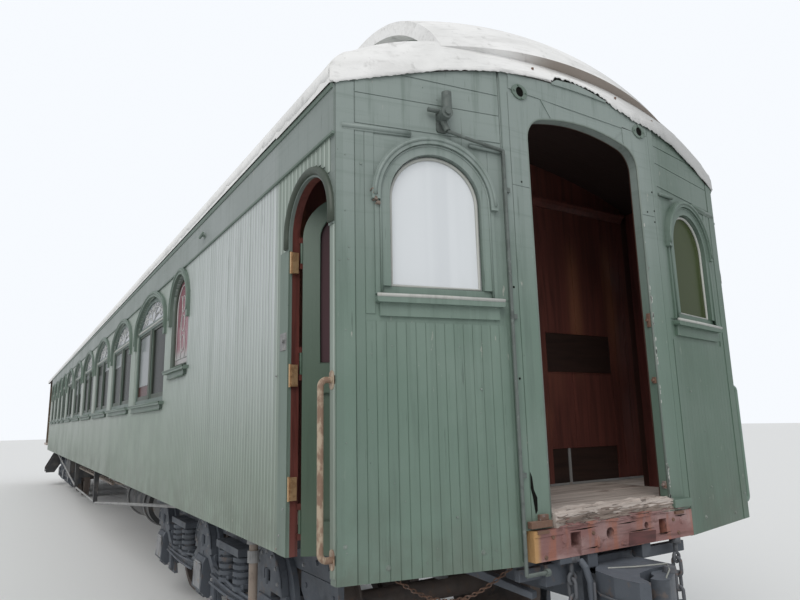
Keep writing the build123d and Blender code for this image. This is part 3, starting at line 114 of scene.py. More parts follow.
PANEL_LEAN = (PORTAL_X - 0.008 - CORNER_X) / (HALF - PORTAL_HALF)
DOOR_TURN = radians(58)
side_face, panel_face, leaf_face = {}, {}, {}
for side in (-1, 1):
    side_face[side] = side_plane(side, HALF)
    corner = (CORNER_X, side * HALF, 0)
    panel_face[side] = Face(corner, (PANEL_LEAN, -side, 0), UP, (1, side * PANEL_LEAN, 0))
    hinge = (11.078, side * 1.4267, 0)
    leaf_u = (cos(DOOR_TURN), -side * sin(DOOR_TURN), 0)
    leaf_out = (sin(DOOR_TURN), side * cos(DOOR_TURN), 0)
    leaf_face[side] = Face(hinge, leaf_u, UP, leaf_out)
portal_face, beam_face, wall_face = [end_plane(x) for x in (PORTAL_X, BEAM_X, FRONT_WALL_X)]
sides = ((-1, "left"), (1, "right"))


def arch_line(middle, half, spring, rise, side_r, grow=0.0, steps=8):
    """Points of a three-centred or round arch, from its right foot to its left foot."""
    half, rise, side_r = half + grow, rise + grow, side_r + grow
    if abs(side_r - half) < 1e-6:
        turns = [pi * i / (3 * steps) for i in range(3 * steps + 1)]
        return [(middle + half * cos(t), spring + rise * sin(t)) for t in turns]
    inset = half - side_r
    drop = (inset**2 - (rise - side_r) ** 2) / (2 * (rise - side_r))
    turn = atan2(drop, inset)
    points = []
    for i in range(steps + 1):
        t = turn * i / steps
        points.append((middle + inset + side_r * cos(t), spring + side_r * sin(t)))
    for i in range(1, steps):
        t = turn + (pi - 2 * turn) * i / steps
        points.append((middle + (rise + drop) * cos(t), spring - drop + (rise + drop) * sin(t)))
    return points + [(2 * middle - a, b) for a, b in reversed(points[: steps + 1])]


def round_arch(middle, half, spring, grow):
    """Points of a half circle, from its right foot to its left foot."""
    return arch_line(middle, half, spring, half, half, grow)


def footed(arch, foot):
    """An arch closed by two points below its ends."""
    return [(arch[-1][0], foot), (arch[0][0], foot)] + arch


def legs(arch, foot):
    """An arch with a straight leg below each end."""
    return [(arch[0][0], foot)] + arch + [(arch[-1][0], foot)]


def circle(count):
    """Equal turns round a full circle."""
    return [2 * pi * i / count for i in range(count)]


def ellipse(a, b, wide, high, count=20):
    return [(a + wide * cos(t), b + high * sin(t)) for t in circle(count)]


def rect(low_a, low_b, high_a, high_b):
    return [(low_a, low_b), (high_a, low_b), (high_a, high_b), (low_a, high_b)]


def mirrored(side, low, high, low_z, high_z):
    """A rectangle on one side of the middle, between two distances from it."""
    low_y, high_y = sorted((side * low, side * high))
    return rect(low_y, low_z, high_y, high_z)


class Surface:
    """A material whose colour, gloss and relief are built up from layers."""

    def __init__(self, name, colour, rough=0.5, metallic=0.0):
        self.made = bpy.data.materials.new(name)
        self.made.use_nodes = True
        self.tree = self.made.node_tree
        self.shader = self.tree.nodes["Principled BSDF"]
        self.shader.inputs["Metallic"].default_value = metallic
        self.place = self.node("ShaderNodeTexCoord").outputs["Object"]
        parts = self.node("ShaderNodeSeparateXYZ", Vector=self.place)
        self.x, self.y, self.z = parts.outputs
        self.colour, self.rough, self.normal = (*colour, 1.0), rough, None

    def node(self, kind, **inputs):
        made = self.tree.nodes.new(kind)
        for name, value in inputs.items():
            self.feed(made.inputs[name.replace("_", " ")], value)
        return made

    def feed(self, socket, value):
        if isinstance(value, bpy.types.NodeSocket):
            self.tree.links.new(value, socket)
        else:
            socket.default_value = value

    def math(self, kind, a, b=0.0):
        made = self.tree.nodes.new("ShaderNodeMath")
        made.operation = kind
        self.feed(made.inputs[0], a)
        self.feed(made.inputs[1], b)
        return made.outputs[0]

    def both(self, *factors):
        """The product of several masks or amounts."""
        made = factors[0]
        for factor in factors[1:]:
            made = self.math("MULTIPLY", made, factor)
        return made

    def ramp(self, value, low, high):
        """0 below low, 1 above high, smooth between; low may be the larger."""
        made = self.node("ShaderNodeMapRange", Value=value)
        made.interpolation_type = "SMOOTHSTEP"
        made.inputs["From Min"].default_value = min(low, high)
        made.inputs["From Max"].default_value = max(low, high)
        made.inputs["To Min"].default_value = 0.0 if low < high else 1.0
        made.inputs["To Max"].default_value = 1.0 if low < high else 0.0
        return made.outputs["Result"]

    def noise(self, scale, stretch=(1, 1, 1), detail=4.0, warp=0.0):
        spread = self.node("ShaderNodeMapping", Vector=self.place, Scale=stretch)
        made = self.node("ShaderNodeTexNoise", Vector=spread.outputs[0], Scale=scale)
        made.inputs["Detail"].default_value = detail
        made.inputs["Roughness"].default_value = 0.6
        made.inputs["Distortion"].default_value = warp
        return made.outputs["Fac"]

    def spots(self, scale, low, high):
        made = self.node("ShaderNodeTexVoronoi", Vector=self.place, Scale=scale)
        return self.ramp(made.outputs["Distance"], high, low)

    def cells(self, along, pitch):
        """One random value for each board."""
        number = self.math("FLOOR", self.math("DIVIDE", along, pitch))
        made = self.tree.nodes.new("ShaderNodeTexWhiteNoise")
        made.noise_dimensions = "1D"
        self.feed(made.inputs["W"], number)
        return made.outputs["Value"]

    def facing(self, axis):
        """How far the surface faces along x, y or z."""
        coords = self.node("ShaderNodeTexCoord")
        parts = self.node("ShaderNodeSeparateXYZ", Vector=coords.outputs["Normal"])
        return parts.outputs["xyz".index(axis)]

    def mix(self, factor, colour):
        made = self.tree.nodes.new("ShaderNodeMix")
        made.data_type = "RGBA"
        self.feed(made.inputs[0], factor)
        self.feed(made.inputs[6], self.colour)
        self.feed(made.inputs[7], (*colour, 1.0))
        self.colour = made.outputs[2]

    def tint(self, value, low, high, share, colour):
        """Lays a share of a colour where a value passes from low to high."""
        self.mix(self.both(self.ramp(value, low, high), share), colour)

    def dull(self, factor, rough):
        made = self.tree.nodes.new("ShaderNodeMix")
        self.feed(made.inputs[0], factor)
        self.feed(made.inputs[2], self.rough)
        self.feed(made.inputs[3], rough)
        self.rough = made.outputs[0]

    def relief(self, height, distance, strength=1.0):
        made = self.node("ShaderNodeBump", Height=height)
        made.inputs["Distance"].default_value = distance
        made.inputs["Strength"].default_value = strength
        if self.normal is not None:
            self.tree.links.new(self.normal, made.inputs["Normal"])
        self.normal = made.outputs["Normal"]

    def done(self):
        self.feed(self.shader.inputs["Base Color"], self.colour)
        self.feed(self.shader.inputs["Roughness"], self.rough)
        if self.normal is not None:
            self.feed(self.shader.inputs["Normal"], self.normal)
        return self.made


def old_paint(name, colour, worn, board=None, frieze=None, sheen=False, chipped=0.5):
    """Weathered wood paint: mottled, streaked, chipped to a paler coat, dirty below; on the long sides a
    painted sheen and painted highlights on the board crests, on the end boards painted shade towards the
    right.
    """
    made = Surface(name, colour, rough=0.42)
    dark = tuple(c * 0.62 for c in colour)
    patches = made.noise(1.3, detail=5)
    made.tint(patches, 0.42, 0.7, 0.55, worn)
    above = made.ramp(made.z, *((2.10, 3.00) if board == "y" else (BELT_Z - 0.004, BELT_Z)))
    if sheen:
        # Painted reflection of the sky on the glossy side: paler towards the far end, darker towards the
        # bottom, and a pale painted sheen in streaks high up near the front.
        far = made.both(made.ramp(made.x, 7.0, 3.0), 0.6)
        made.mix(far, (0.37, 0.375, 0.36))
        made.tint(made.z, 2.3, 1.3, 0.7, (0.150, 0.195, 0.148))
        streaks = made.noise(30.0, stretch=(1, 0.2, 0.03), detail=4)
        near = made.both(made.ramp(made.x, 7.2, 10.2), made.ramp(made.x, 10.91, 10.84))
        level = made.math("ADD", made.both(made.ramp(streaks, 0.3, 0.65), 0.14), 0.66)
        made.mix(made.both(level, near, made.ramp(made.z, 1.35, 2.75)), (0.545, 0.565, 0.585))
    if frieze:
        made.mix(made.both(above, 0.85), frieze)
        grain = made.noise(4.0, stretch=(0.3, 0.3, 9), detail=6)
        made.mix(made.both(above, made.ramp(grain, 0.52, 0.72), 0.22), dark)
    streaks = made.noise(3.0, stretch=(6, 6, 0.5), detail=6)
    made.tint(streaks, 0.5, 0.72, 0.4, dark)
    runs = made.noise(9.0, stretch=(1, 1, 0.06), detail=5)
    made.tint(runs, 0.6, 0.75, 0.3, worn)
    if board:
        tone = made.cells(made.x if board == "x" else made.y, BOARD_PITCH)
        below = made.ramp(made.z, BELT_Z, BELT_Z - 0.004)
        made.mix(made.both(tone, below, 0.22), dark)
    if board == "x":
        boards = made.math("DIVIDE", made.math("SUBTRACT", made.x, REAR_WALL_X), BOARD_PITCH)
        share = made.math("FRACT", boards)
        high = made.math("ADD", made.both(made.ramp(made.z, 1.2, 2.5), 0.55), 0.45)
        # A paler stripe along each board's crest, stronger higher up: painted highlight, in the worn colour
        # doubled.
        crest_highlight = made.both(made.ramp(share, 0.62, 0.80), below, high, 0.36)
        made.mix(crest_highlight, tuple(c * 2.0 for c in worn))
        joint = made.math("MAXIMUM", made.ramp(share, 0.22, 0.08), made.ramp(share, 0.95, 0.98))
        made.mix(made.both(joint, below, high, 0.62), tuple(c * 0.42 for c in colour))
    elif board == "y":
        # Darker towards the right-hand side of the end: painted shade.
        made.tint(made.y, 0.40, 0.80, 0.6, (0.045, 0.090, 0.056))
    low_down = made.ramp(made.z, 1.6, 1.05)
    grime = made.both(low_down, made.ramp(made.noise(5.0, detail=6), 0.3, 0.65), 0.45)
    made.mix(grime, (0.08, 0.085, 0.065))
    fine = made.noise(34.0, stretch=(1, 1, 0.35), detail=6)
    chips = made.both(made.ramp(fine, 0.65, 0.70), made.ramp(patches, 0.48, 0.60))
    made.mix(made.both(chips, chipped), (0.42, 0.41, 0.36))
    made.mix(made.both(made.spots(9.0, 0.02, 0.035), 0.7), tuple(c * 0.3 for c in colour))
    cracks = made.noise(60.0, stretch=(1, 1, 0.05), detail=5)
    made.tint(cracks, 0.66, 0.72, 0.5, tuple(c * 0.35 for c in colour))
    made.dull(made.ramp(patches, 0.35, 0.7), 0.62)
    made.relief(made.noise(70.0, stretch=(1, 1, 0.08), detail=4), 0.0012, 0.6)
    made.relief(fine, 0.0008, 0.5)
    made.relief(chips, -0.0006)
    return made


END_PAINT, END_WORN = (0.128, 0.190, 0.152), (0.185, 0.245, 0.210)
FRIEZE, END_FRIEZE = (0.200, 0.230, 0.218), (0.245, 0.285, 0.270)
WOOD_INSIDE = (0.050, 0.022, 0.016)


def wood_ends(made):
    """The ends of the long walls and roofs that face into the vestibule are bare wood."""
    near = made.both(made.ramp(made.x, 10.885, 10.892), made.ramp(made.x, 10.93, 10.915))
    made.mix(made.both(made.ramp(made.facing("x"), 0.7, 0.9), near), WOOD_INSIDE)
    return made.done()


side_green = wood_ends(
    old_paint("side_green", (0.205, 0.250, 0.212), (0.275, 0.315, 0.285), "x", FRIEZE, sheen=True)
)
end_green = old_paint("end_green", END_PAINT, END_WORN, board="y", frieze=END_FRIEZE).done()
trim_green = old_paint("trim_green", (0.120, 0.165, 0.135), (0.205, 0.245, 0.222), chipped=0.7).done()
made = old_paint("door_green", (0.046, 0.084, 0.052), (0.080, 0.125, 0.090))
made.tint(made.z, 1.7, 2.7, 0.55, (0.125, 0.170, 0.140))
door_green = made.done()
glazed_paint = old_paint("glazed_paint", (0.105, 0.145, 0.125), (0.16, 0.20, 0.18)).done()
pale_paint = old_paint("pale_paint", (0.40, 0.41, 0.38), (0.52, 0.52, 0.50), chipped=0.9).done()
# Dark olive paint, darkened as painted shade of the deep doorway hood; the sash beads share it.
olive_shade_paint = old_paint("olive_shade_paint", (0.040, 0.054, 0.038), (0.075, 0.095, 0.075)).done()
edge_paint = old_paint("edge_paint", (0.165, 0.205, 0.180), (0.30, 0.33, 0.30), chipped=0.9).done()


def wood(name, colour, dark, pale, stretch=(1, 1, 0.06), rough=0.9):
    """Bare or varnished wood: dark grain along the board and paler bands."""
    made = Surface(name, colour, rough=rough)
    grain = made.noise(22.0, stretch=stretch, detail=8, warp=1.2)
    made.tint(grain, 0.35, 0.7, 0.8, dark)
    bands = made.noise(1.6, stretch=(stretch[0], stretch[1], stretch[2] * 6), detail=3)
    made.tint(bands, 0.55, 0.75, 0.6, pale)
    made.relief(grain, 0.0008, 0.5)
    return made


made = wood("mahogany", (0.125, 0.042, 0.033), (0.055, 0.022, 0.019), (0.19, 0.075, 0.048), rough=0.36)
# A paler upper band and two upright smears on the varnished panels: painted highlights.
highlight_band = made.both(made.ramp(made.z, 1.9, 2.6), made.ramp(made.z, 3.15, 2.8))
sheets = made.noise(3.2, stretch=(1, 1, 0.12), detail=3)
made.mix(made.both(highlight_band, made.ramp(sheets, 0.56, 0.68), 0.4), (0.30, 0.145, 0.065))
for highlight_y in (0.78, 1.17):
    off = made.math("ABSOLUTE", made.math("SUBTRACT", made.y, highlight_y))
    soft = made.both(made.ramp(off, 0.11, 0.0), made.ramp(sheets, 0.30, 0.60))
    made.mix(made.both(highlight_band, soft, 0.6), (0.27, 0.115, 0.062))
mahogany = made.done()
LEVEL_GRAIN = (1, 0.06, 1)
dark_wood = wood(
    "dark_wood", (0.035, 0.020, 0.016), (0.014, 0.009, 0.008), (0.055, 0.028, 0.020), LEVEL_GRAIN, 0.4
).done()


def two_sided(name, mask_of, outer, worn, inner=(0.062, 0.026, 0.018), frieze=None):
    """Painted outside and bare dark wood inside, by a line set in the part's frame."""
    made = old_paint(name, outer, worn, board="y", frieze=frieze)
    grain = made.noise(22.0, stretch=(1, 1, 0.06), detail=8, warp=1.2)
    inside = mask_of(made)
    made.mix(inside, inner)
    made.mix(made.both(inside, made.ramp(grain, 0.4, 0.7), 0.8), tuple(c * 0.4 for c in inner))
    return made.done()


def panel_inside(made):
    reach = made.math("SUBTRACT", HALF, made.math("ABSOLUTE", made.y))
    outer_x = made.math("ADD", made.math("MULTIPLY", reach, PANEL_LEAN), CORNER_X)
    return made.ramp(made.math("SUBTRACT", outer_x, made.x), 0.044, 0.046)


def post_inside(made):
    inner = made.ramp(made.math("ABSOLUTE", made.y), 1.4775, 1.4755)
    return made.both(inner, made.ramp(made.x, CORNER_X - 0.001, CORNER_X - 0.004))


panel_paint = two_sided("panel_paint", panel_inside, END_PAINT, END_WORN, frieze=END_FRIEZE)
post_paint = two_sided(
    "post_paint", post_inside, (0.150, 0.200, 0.168), END_WORN, inner=(0.13, 0.036, 0.028), frieze=FRIEZE
)
portal_paint = two_sided(
    "portal_paint",
    lambda m: m.ramp(m.x, PORTAL_X - 0.051, PORTAL_X - 0.054),
    (0.122, 0.182, 0.146),
    END_WORN,
    frieze=END_FRIEZE,
)


def cloth(name):
    """Old roof canvas: off-white coat, grey stains, fine wrinkles and flecks, and painted shade towards the
    right-hand side.
    """
    made = Surface(name, (0.80, 0.795, 0.785), rough=0.85)
    made.tint(made.noise(0.9, stretch=(1, 1.6, 1.6), detail=7), 0.45, 0.75, 0.45, (0.52, 0.52, 0.505))
    made.tint(made.noise(14.0, detail=8), 0.58, 0.70, 0.4, (0.36, 0.355, 0.34))
    creases = made.noise(3.5, stretch=(2.4, 0.6, 1.3), detail=6, warp=0.5)
    made.tint(creases, 0.50, 0.66, 0.28, (0.50, 0.49, 0.475))
    fine = made.noise(26.0, stretch=(2.2, 0.12, 1.4), detail=7)
    made.tint(fine, 0.52, 0.68, 0.24, (0.40, 0.395, 0.385))
    # Darker towards the right-hand side of the roof: painted shade.
    made.tint(made.y, 0.0, 0.9, 0.7, (0.30, 0.305, 0.30))
    made.relief(creases, 0.02, 0.5)
    made.relief(fine, 0.006, 0.5)
    made.relief(made.noise(300.0, detail=2), 0.0008, 0.5)
    return made


canvas = wood_ends(cloth("canvas"))
made = cloth("hood_cloth")
made.mix(made.ramp(made.facing("z"), -0.5, -0.7), (0.028, 0.012, 0.009))
hood_cloth = made.done()
made = cloth("nose_cloth")
# Brownish under the brow at the end of the nose, from the middle to the right: mostly painted shade, partly
# the brown of the bare edge.
under = made.ramp(made.facing("z"), -0.6, -0.8)
near_brow = made.ramp(made.math("ABSOLUTE", made.x), 11.4, 11.5)
brow_shade = made.both(under, near_brow, made.ramp(made.y, -0.55, -0.15))
made.mix(brow_shade, (0.29, 0.25, 0.22))
nose_cloth = made.done()


def iron(name, colour, tint, rust, rough=0.55, scale=5.0, relief=0.002):
    """Painted or bare iron: mottled tint, rust patches and a pitted skin."""
    made = Surface(name, colour, rough=rough)
    made.tint(made.noise(scale, detail=8), 0.48, 0.7, 0.7, tint)
    made.tint(made.noise(scale * 2.2, detail=8), 0.58, 0.68, 0.7, rust)
    upward = made.ramp(made.facing("z"), 0.4, 0.9)
    dust = made.both(upward, made.ramp(made.noise(3.0, detail=6), 0.3, 0.6), 0.6)
    made.mix(dust, tuple(min(1.0, c * 1.9 + 0.02) for c in colour))
    made.dull(made.ramp(made.noise(scale * 1.5, detail=5), 0.4, 0.7), min(1.0, rough + 0.25))
    made.relief(made.noise(55.0, detail=6), relief, 0.7)
    return made.done()


truck_paint = iron("truck_paint", (0.070, 0.080, 0.096), (0.030, 0.034, 0.040), (0.115, 0.085, 0.070))
bracket_grey = iron(
    "bracket_grey", (0.105, 0.125, 0.115), (0.050, 0.060, 0.055), (0.17, 0.20, 0.185), scale=14.0
)
lid_iron = iron("lid_iron", (0.225, 0.228, 0.236), (0.105, 0.106, 0.112), (0.20, 0.155, 0.120))
pale_iron = iron("pale_iron", (0.235, 0.235, 0.232), (0.125, 0.125, 0.130), (0.20, 0.15, 0.115))
black_paint = iron(
    "black_paint", (0.034, 0.035, 0.037), (0.095, 0.088, 0.080), (0.085, 0.055, 0.040), relief=0.0015
)
rusty = iron("rusty", (0.150, 0.085, 0.058), (0.070, 0.045, 0.040), (0.22, 0.20, 0.19), rough=0.8, scale=9.0)
chain_iron = iron("chain_iron", (0.085, 0.090, 0.100), (0.040, 0.040, 0.045), (0.17, 0.10, 0.07), scale=14.0)
wheel_iron = iron("wheel_iron", (0.095, 0.075, 0.065), (0.050, 0.048, 0.050), (0.15, 0.09, 0.06), rough=0.7)
pipe_tan = iron(
    "pipe_tan", (0.215, 0.175, 0.145), (0.13, 0.10, 0.082), (0.19, 0.11, 0.075), scale=8.0, relief=0.001
)

made = Surface("beam_red", (0.215, 0.108, 0.100), rough=0.8)
made.mix(made.ramp(made.noise(6.0, stretch=(1, 0.4, 1), detail=8), 0.45, 0.65), (0.31, 0.205, 0.195))
for scale, stretch, detail, low, high, share, colour in (
    (5.0, (1, 1.8, 0.35), 7, 0.50, 0.60, 0.7, (0.30, 0.115, 0.070)),
    (16.0, (1, 0.5, 1), 8, 0.56, 0.64, 0.8, (0.13, 0.062, 0.055)),
    (26.0, (1, 0.07, 1), 7, 0.55, 0.68, 0.55, (0.09, 0.045, 0.040)),
):
    made.tint(made.noise(scale, stretch, detail), low, high, share, colour)
made.tint(made.y, -0.540, -0.575, 0.8, (0.46, 0.27, 0.10))
made.relief(made.noise(30.0, stretch=(1, 0.15, 1), detail=7), 0.008, 0.9)
beam_red = made.done()

made = wood(
    "planks", (0.56, 0.485, 0.435), (0.27, 0.225, 0.195), (0.68, 0.63, 0.59), LEVEL_GRAIN, 0.88
)
joints = made.math("FRACT", made.math("DIVIDE", made.x, 0.09))
made.tint(joints, 0.05, 0.02, 0.8, (0.06, 0.045, 0.038))
made.mix(made.both(made.cells(made.x, 0.09), 0.35), (0.24, 0.20, 0.175))
worn = made.noise(9.0, stretch=(1, 0.3, 1), detail=7)
made.tint(worn, 0.57, 0.66, 0.6, (0.16, 0.105, 0.085))
made.relief(worn, 0.006, 0.7)
planks = made.done()

worn_planks = wood(
    "worn_planks", (0.235, 0.185, 0.155), (0.10, 0.072, 0.058), (0.36, 0.30, 0.265), LEVEL_GRAIN
).done()
dark_red = wood(
    "dark_red", (0.115, 0.038, 0.036), (0.045, 0.018, 0.016), (0.20, 0.085, 0.070), (1, 0.08, 1), 0.7
).done()

made = Surface("brass", (0.50, 0.33, 0.18), rough=0.42, metallic=0.55)
made.tint(made.noise(25.0, detail=6), 0.45, 0.65, 0.6, (0.26, 0.13, 0.06))
made.relief(made.noise(120.0, detail=4), 0.0005, 0.5)
brass = made.done()

bronze = iron("bronze", (0.090, 0.065, 0.040), (0.050, 0.038, 0.026), (0.14, 0.085, 0.045), scale=12.0)
made = Surface("rail_paint", (0.36, 0.285, 0.205), rough=0.5)
made.tint(made.noise(26.0, stretch=(1, 1, 0.5), detail=8), 0.42, 0.56, 0.85, (0.17, 0.095, 0.060))
made.mix(made.ramp(made.y, -0.1, 0.1), END_PAINT)
made.mix(made.ramp(made.x, 0.5, -0.5), (0.095, 0.065, 0.040))
made.relief(made.noise(90.0, detail=5), 0.0007, 0.6)
rail_paint = made.done()


def pane(name, colour, rough, clear, marks=0.25, ior=1.45):
    made = Surface(name, colour, rough=rough)
    made.shader.inputs["Transmission Weight"].default_value = clear
    made.shader.inputs["IOR"].default_value = ior
    smears = made.noise(3.0, stretch=(1, 1, 0.4), detail=5)
    pale = tuple(min(1, c * 1.15) for c in colour)
    made.mix(made.both(made.ramp(smears, 0.45, 0.75), marks), pale)
    made.dull(made.both(made.ramp(smears, 0.4, 0.8), 0.3), rough + 0.25)
    made.relief(made.noise(6.0, detail=2), 0.0006, 0.4)
    return made


made = pane("milk_glass", (0.66, 0.685, 0.705), 0.10, 0.0)
made.tint(made.noise(9.0, stretch=(1, 1, 0.02), detail=2), 0.4, 0.7, 0.4, (0.56, 0.585, 0.61))
milk_glass = made.done()
side_glass = pane("side_glass", (0.60, 0.66, 0.66), 0.06, 0.9).done()
lead_glass = pane("lead_glass", (0.36, 0.37, 0.40), 0.14, 0.0, marks=0.6).done()
made = pane("rose_glass", (0.22, 0.085, 0.105), 0.20, 0.0, marks=0.6, ior=1.25)
dusty = made.both(made.ramp(made.z, 2.44, 2.34), 0.8)
made.mix(dusty, (0.36, 0.37, 0.36))
rose_glass = made.done()
door_glass = pane("door_glass", (0.075, 0.040, 0.045), 0.08, 0.0, ior=1.25).done()
# Opaque dark olive pane: painted reflection of dark trees, with the dim view through the glass.
tree_reflection_glass = pane("tree_reflection_glass", (0.040, 0.054, 0.018), 0.20, 0.0, marks=0.7, ior=1.15).done()
pale_pane = pane("pale_pane", (0.20, 0.215, 0.222), 0.16, 0.0, marks=0.5, ior=1.2).done()
dark_pane = pane("dark_pane", (0.014, 0.016, 0.014), 0.22, 0.0, marks=0.8, ior=1.12).done()
red_pane = pane("red_pane", (0.065, 0.014, 0.014), 0.20, 0.0, marks=0.5, ior=1.12).done()
made = Surface("blind_white", (0.50, 0.51, 0.50), rough=0.92)
made.tint(made.noise(2.0, detail=4), 0.4, 0.7, 0.4, (0.375, 0.3825, 0.375))
weave = made.noise(12.0, stretch=(1, 1, 0.3), detail=5)
made.mix(made.ramp(weave, 0.45, 0.72), (0.40, 0.41, 0.40))
made.relief(made.noise(220.0, detail=2), 0.0006, 0.5)
blind_white = made.done()
floor_paint = Surface("floor_paint", (0.74, 0.74, 0.73), rough=0.9).done()
# Flat black for the holes in the oval plates, nail holes, the notch, the gap under the torn canvas, the
# beam's splits and the strip under the eave canvas: painted shade.
shade_black = iron("shade_black", (0.008, 0.008, 0.007), (0.016, 0.014, 0.012), (0.022, 0.014, 0.010), rough=0.95)
shade_black.node_tree.nodes["Principled BSDF"].inputs["Specular IOR Level"].default_value = 0.05


def dress(material, *names):
    for name in names:
        piece = nodes[name]
        if not piece.material_slots:
            piece.data.materials.append(material)
        for slot in piece.material_slots:
            slot.material = material


dress(side_green, "side_wall_left", "side_wall_right")
dress(trim_green, "window_casings", "rear_end_wall")
dress(glazed_paint, "window_sashes")
dress(canvas, "lower_deck_roof")
dress(nose_cloth, "upper_deck_roof")
dress(hood_cloth, "front_roof_hood", "rear_roof_hood")
dress(door_green, "clerestory_walls", "vestibule_door_left")
dress(mahogany, "front_end_wall", "front_body_door", "rear_body_door", "vestibule_door_right")
dress(panel_paint, "vestibule_panel_left", "vestibule_panel_right")
dress(post_paint, "vestibule_side_left", "vestibule_side_right")
dress(portal_paint, "portal_frame")
dress(bracket_grey, "lamp_bracket")
dress(planks, "cabin_floor", "vestibule_floor", "rear_platform_floor")
dress(black_paint, "underframe", "queen_posts", "underfloor_tank", "underfloor_boxes")
dress(black_paint, "brake_gear", "rear_steps")
dress(beam_red, "buffer_beams")
dress(truck_paint, "couplers")
dress(pipe_tan, "underfloor_pipes")
dress(pale_iron, "truss_rods")
dress(rail_paint, "grab_rails")
dress(bronze, "rear_railing", "brake_wheel", "rear_gate_left", "rear_gate_right")
dress(side_glass, "window_glass_left", "window_glass_right")
dress(milk_glass, "vestibule_glass_left")
dress(tree_reflection_glass, "vestibule_glass_right")
for truck, truck_x in TRUCK_XS:
    for piece in ("frame", "bolster", "springs"):
        dress(truck_paint, truck + "_truck_" + piece)
    dress(truck_paint, truck + "_journal_boxes")
    for number in "123":
        dress(wheel_iron, truck + "_wheelset_" + number)


class Pile:
    """Gathers solids of one material in one mesh, in the part's frame, until place() empties it."""

    def __init__(self):
        self.mesh = bmesh.new()

    def point(self, at):
        return self.mesh.verts.new(at)

    def skin(self, low, high, closed=True):
        """Quads between two rows of points."""
        count = len(low)
        for i in range(count if closed else count - 1):
            j = (i + 1) % count
            self.mesh.faces.new((low[i], low[j], high[j], high[i]))

    def prism(self, outline, origin, u, v, depth, taper=0.0):
        """A closed outline of (a, b) points in the plane of u and v, pushed along u x v."""
        origin, u, v = Vector(origin), Vector(u).normalized(), Vector(v).normalized()
        away = u.cross(v).normalized()
        near = [self.point(origin + u * a + v * b) for a, b in outline]
        middle = Vector((sum(a for a, b in outline), sum(b for a, b in outline))) / len(outline)
        far = []
        for a, b in outline:
            inward = (middle - Vector((a, b))).normalized() * taper
            far.append(self.point(origin + u * (a + inward.x) + v * (b + inward.y) + away * depth))
        self.mesh.faces.new(list(reversed(near)))
        self.mesh.faces.new(far)
        self.skin(near, far)

    def slab(self, face, outline, low, high, taper=0.0):
        """A plate with the given outline on a face, from n = low to n = high."""
        depth = face.sign * (high - low)
        self.prism(outline, face.at(0, 0, low), face.u, face.v, depth, taper)

    def ring(self, face, outer, inner, low, high):
        """A flat frame between two outlines with the same number of points."""
        rows = []
        for outline, n in ((outer, low), (outer, high), (inner, high), (inner, low)):
            rows.append([self.point(face.at(a, b, n)) for a, b in outline])
        for i in range(4):
            self.skin(rows[i], rows[(i + 1) % 4])

    def box(self, low, high):
        size = [b - a for a, b in zip(low, high)]
        self.prism(rect(0, 0, size[0], size[1]), low, (1, 0, 0), (0, 1, 0), size[2])

    def round(self, start, end, radius, sides=10, end_radius=None):
        """A round bar, cone or bolt head from one point to another."""
        start, end = Vector(start), Vector(end)
        away = (end - start).normalized()
        u = away.orthogonal().normalized()
        v = away.cross(u)
        end_radius = radius if end_radius is None else end_radius
        rings = []
        for centre, r in ((start, radius), (end, end_radius)):
            rings.append([self.point(centre + (u * cos(t) + v * sin(t)) * r) for t in circle(sides)])
        self.mesh.faces.new(list(reversed(rings[0])))
        self.mesh.faces.new(rings[1])
        self.skin(*rings)

    def stud(self, face, a, b, low, high, *size):
        """A round bar standing on a face."""
        self.round(face.at(a, b, low), face.at(a, b, high), *size)

    def bolt(self, face, a, b, low, radius, tall, sides=8):
        """A bolt head or nut standing on a face."""
        self.stud(face, a, b, low, low + tall, radius, sides, 0.8 * radius)

    def bolts(self, face, spots, *size):
        for a, b in spots:
            self.bolt(face, a, b, *size)

    def tube(self, path, radius, sides=8, closed=False):
        """A bar of round section along a list of points."""
        path = [Vector(p) for p in path]
        count = len(path)
        rings = []
        lead = None
        for i, at in enumerate(path):
            before = path[i - 1] if i or closed else at
            after = path[(i + 1) % count] if i < count - 1 or closed else at
            way = (after - before).normalized()
            lead = way.orthogonal() if lead is None else lead - way * lead.dot(way)
            lead.normalize()
            side = way.cross(lead)
            section = [(lead * cos(t) + side * sin(t)) * radius for t in circle(sides)]
            rings.append([self.point(at + spoke) for spoke in section])
        for i in range(count if closed else count - 1):
            self.skin(rings[i], rings[(i + 1) % count])
        if not closed:
            self.mesh.faces.new(list(reversed(rings[0])))
            self.mesh.faces.new(rings[-1])

    def bar(self, face, points, n, radius, sides=6, closed=False):
        """A round bead or rod that follows (a, b) points on a face."""
        self.tube([face.at(a, b, n) for a, b in points], radius, sides, closed)

    def sheet(self, rows, thick):
        """A sheet through rows of points, with a back at a small distance below it."""
        top = [[self.point(p) for p in row] for row in rows]
        low = [[self.point(Vector(p) + Vector(thick)) for p in row] for row in rows]
        for grid in (top, low):
            for i in range(len(rows) - 1):
                self.skin(grid[i], grid[i + 1], closed=False)
        rims = []
        for grid in (top, low):
            right, left = [row[-1] for row in grid[1:-1]], [row[0] for row in grid[-2:0:-1]]
            rims.append(grid[0] + right + grid[-1][::-1] + left)
        self.skin(*rims)

    def place(self, name, material, slot, body="carbody", smooth=False, bevel=0.0):
        bmesh.ops.recalc_face_normals(self.mesh, faces=self.mesh.faces)
        data = bpy.data.meshes.new(name)
        self.mesh.to_mesh(data)
        self.mesh.clear()
        piece = bpy.data.objects.new(name, data)
        bpy.context.scene.collection.objects.link(piece)
        data.materials.append(material)
        if smooth:
            data.shade_smooth()
        if bevel:
            edge = piece.modifiers.new("edge", "BEVEL")
            edge.width = bevel
            edge.segments = 2
            edge.limit_method = "ANGLE"
        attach(piece, body)
        return piece


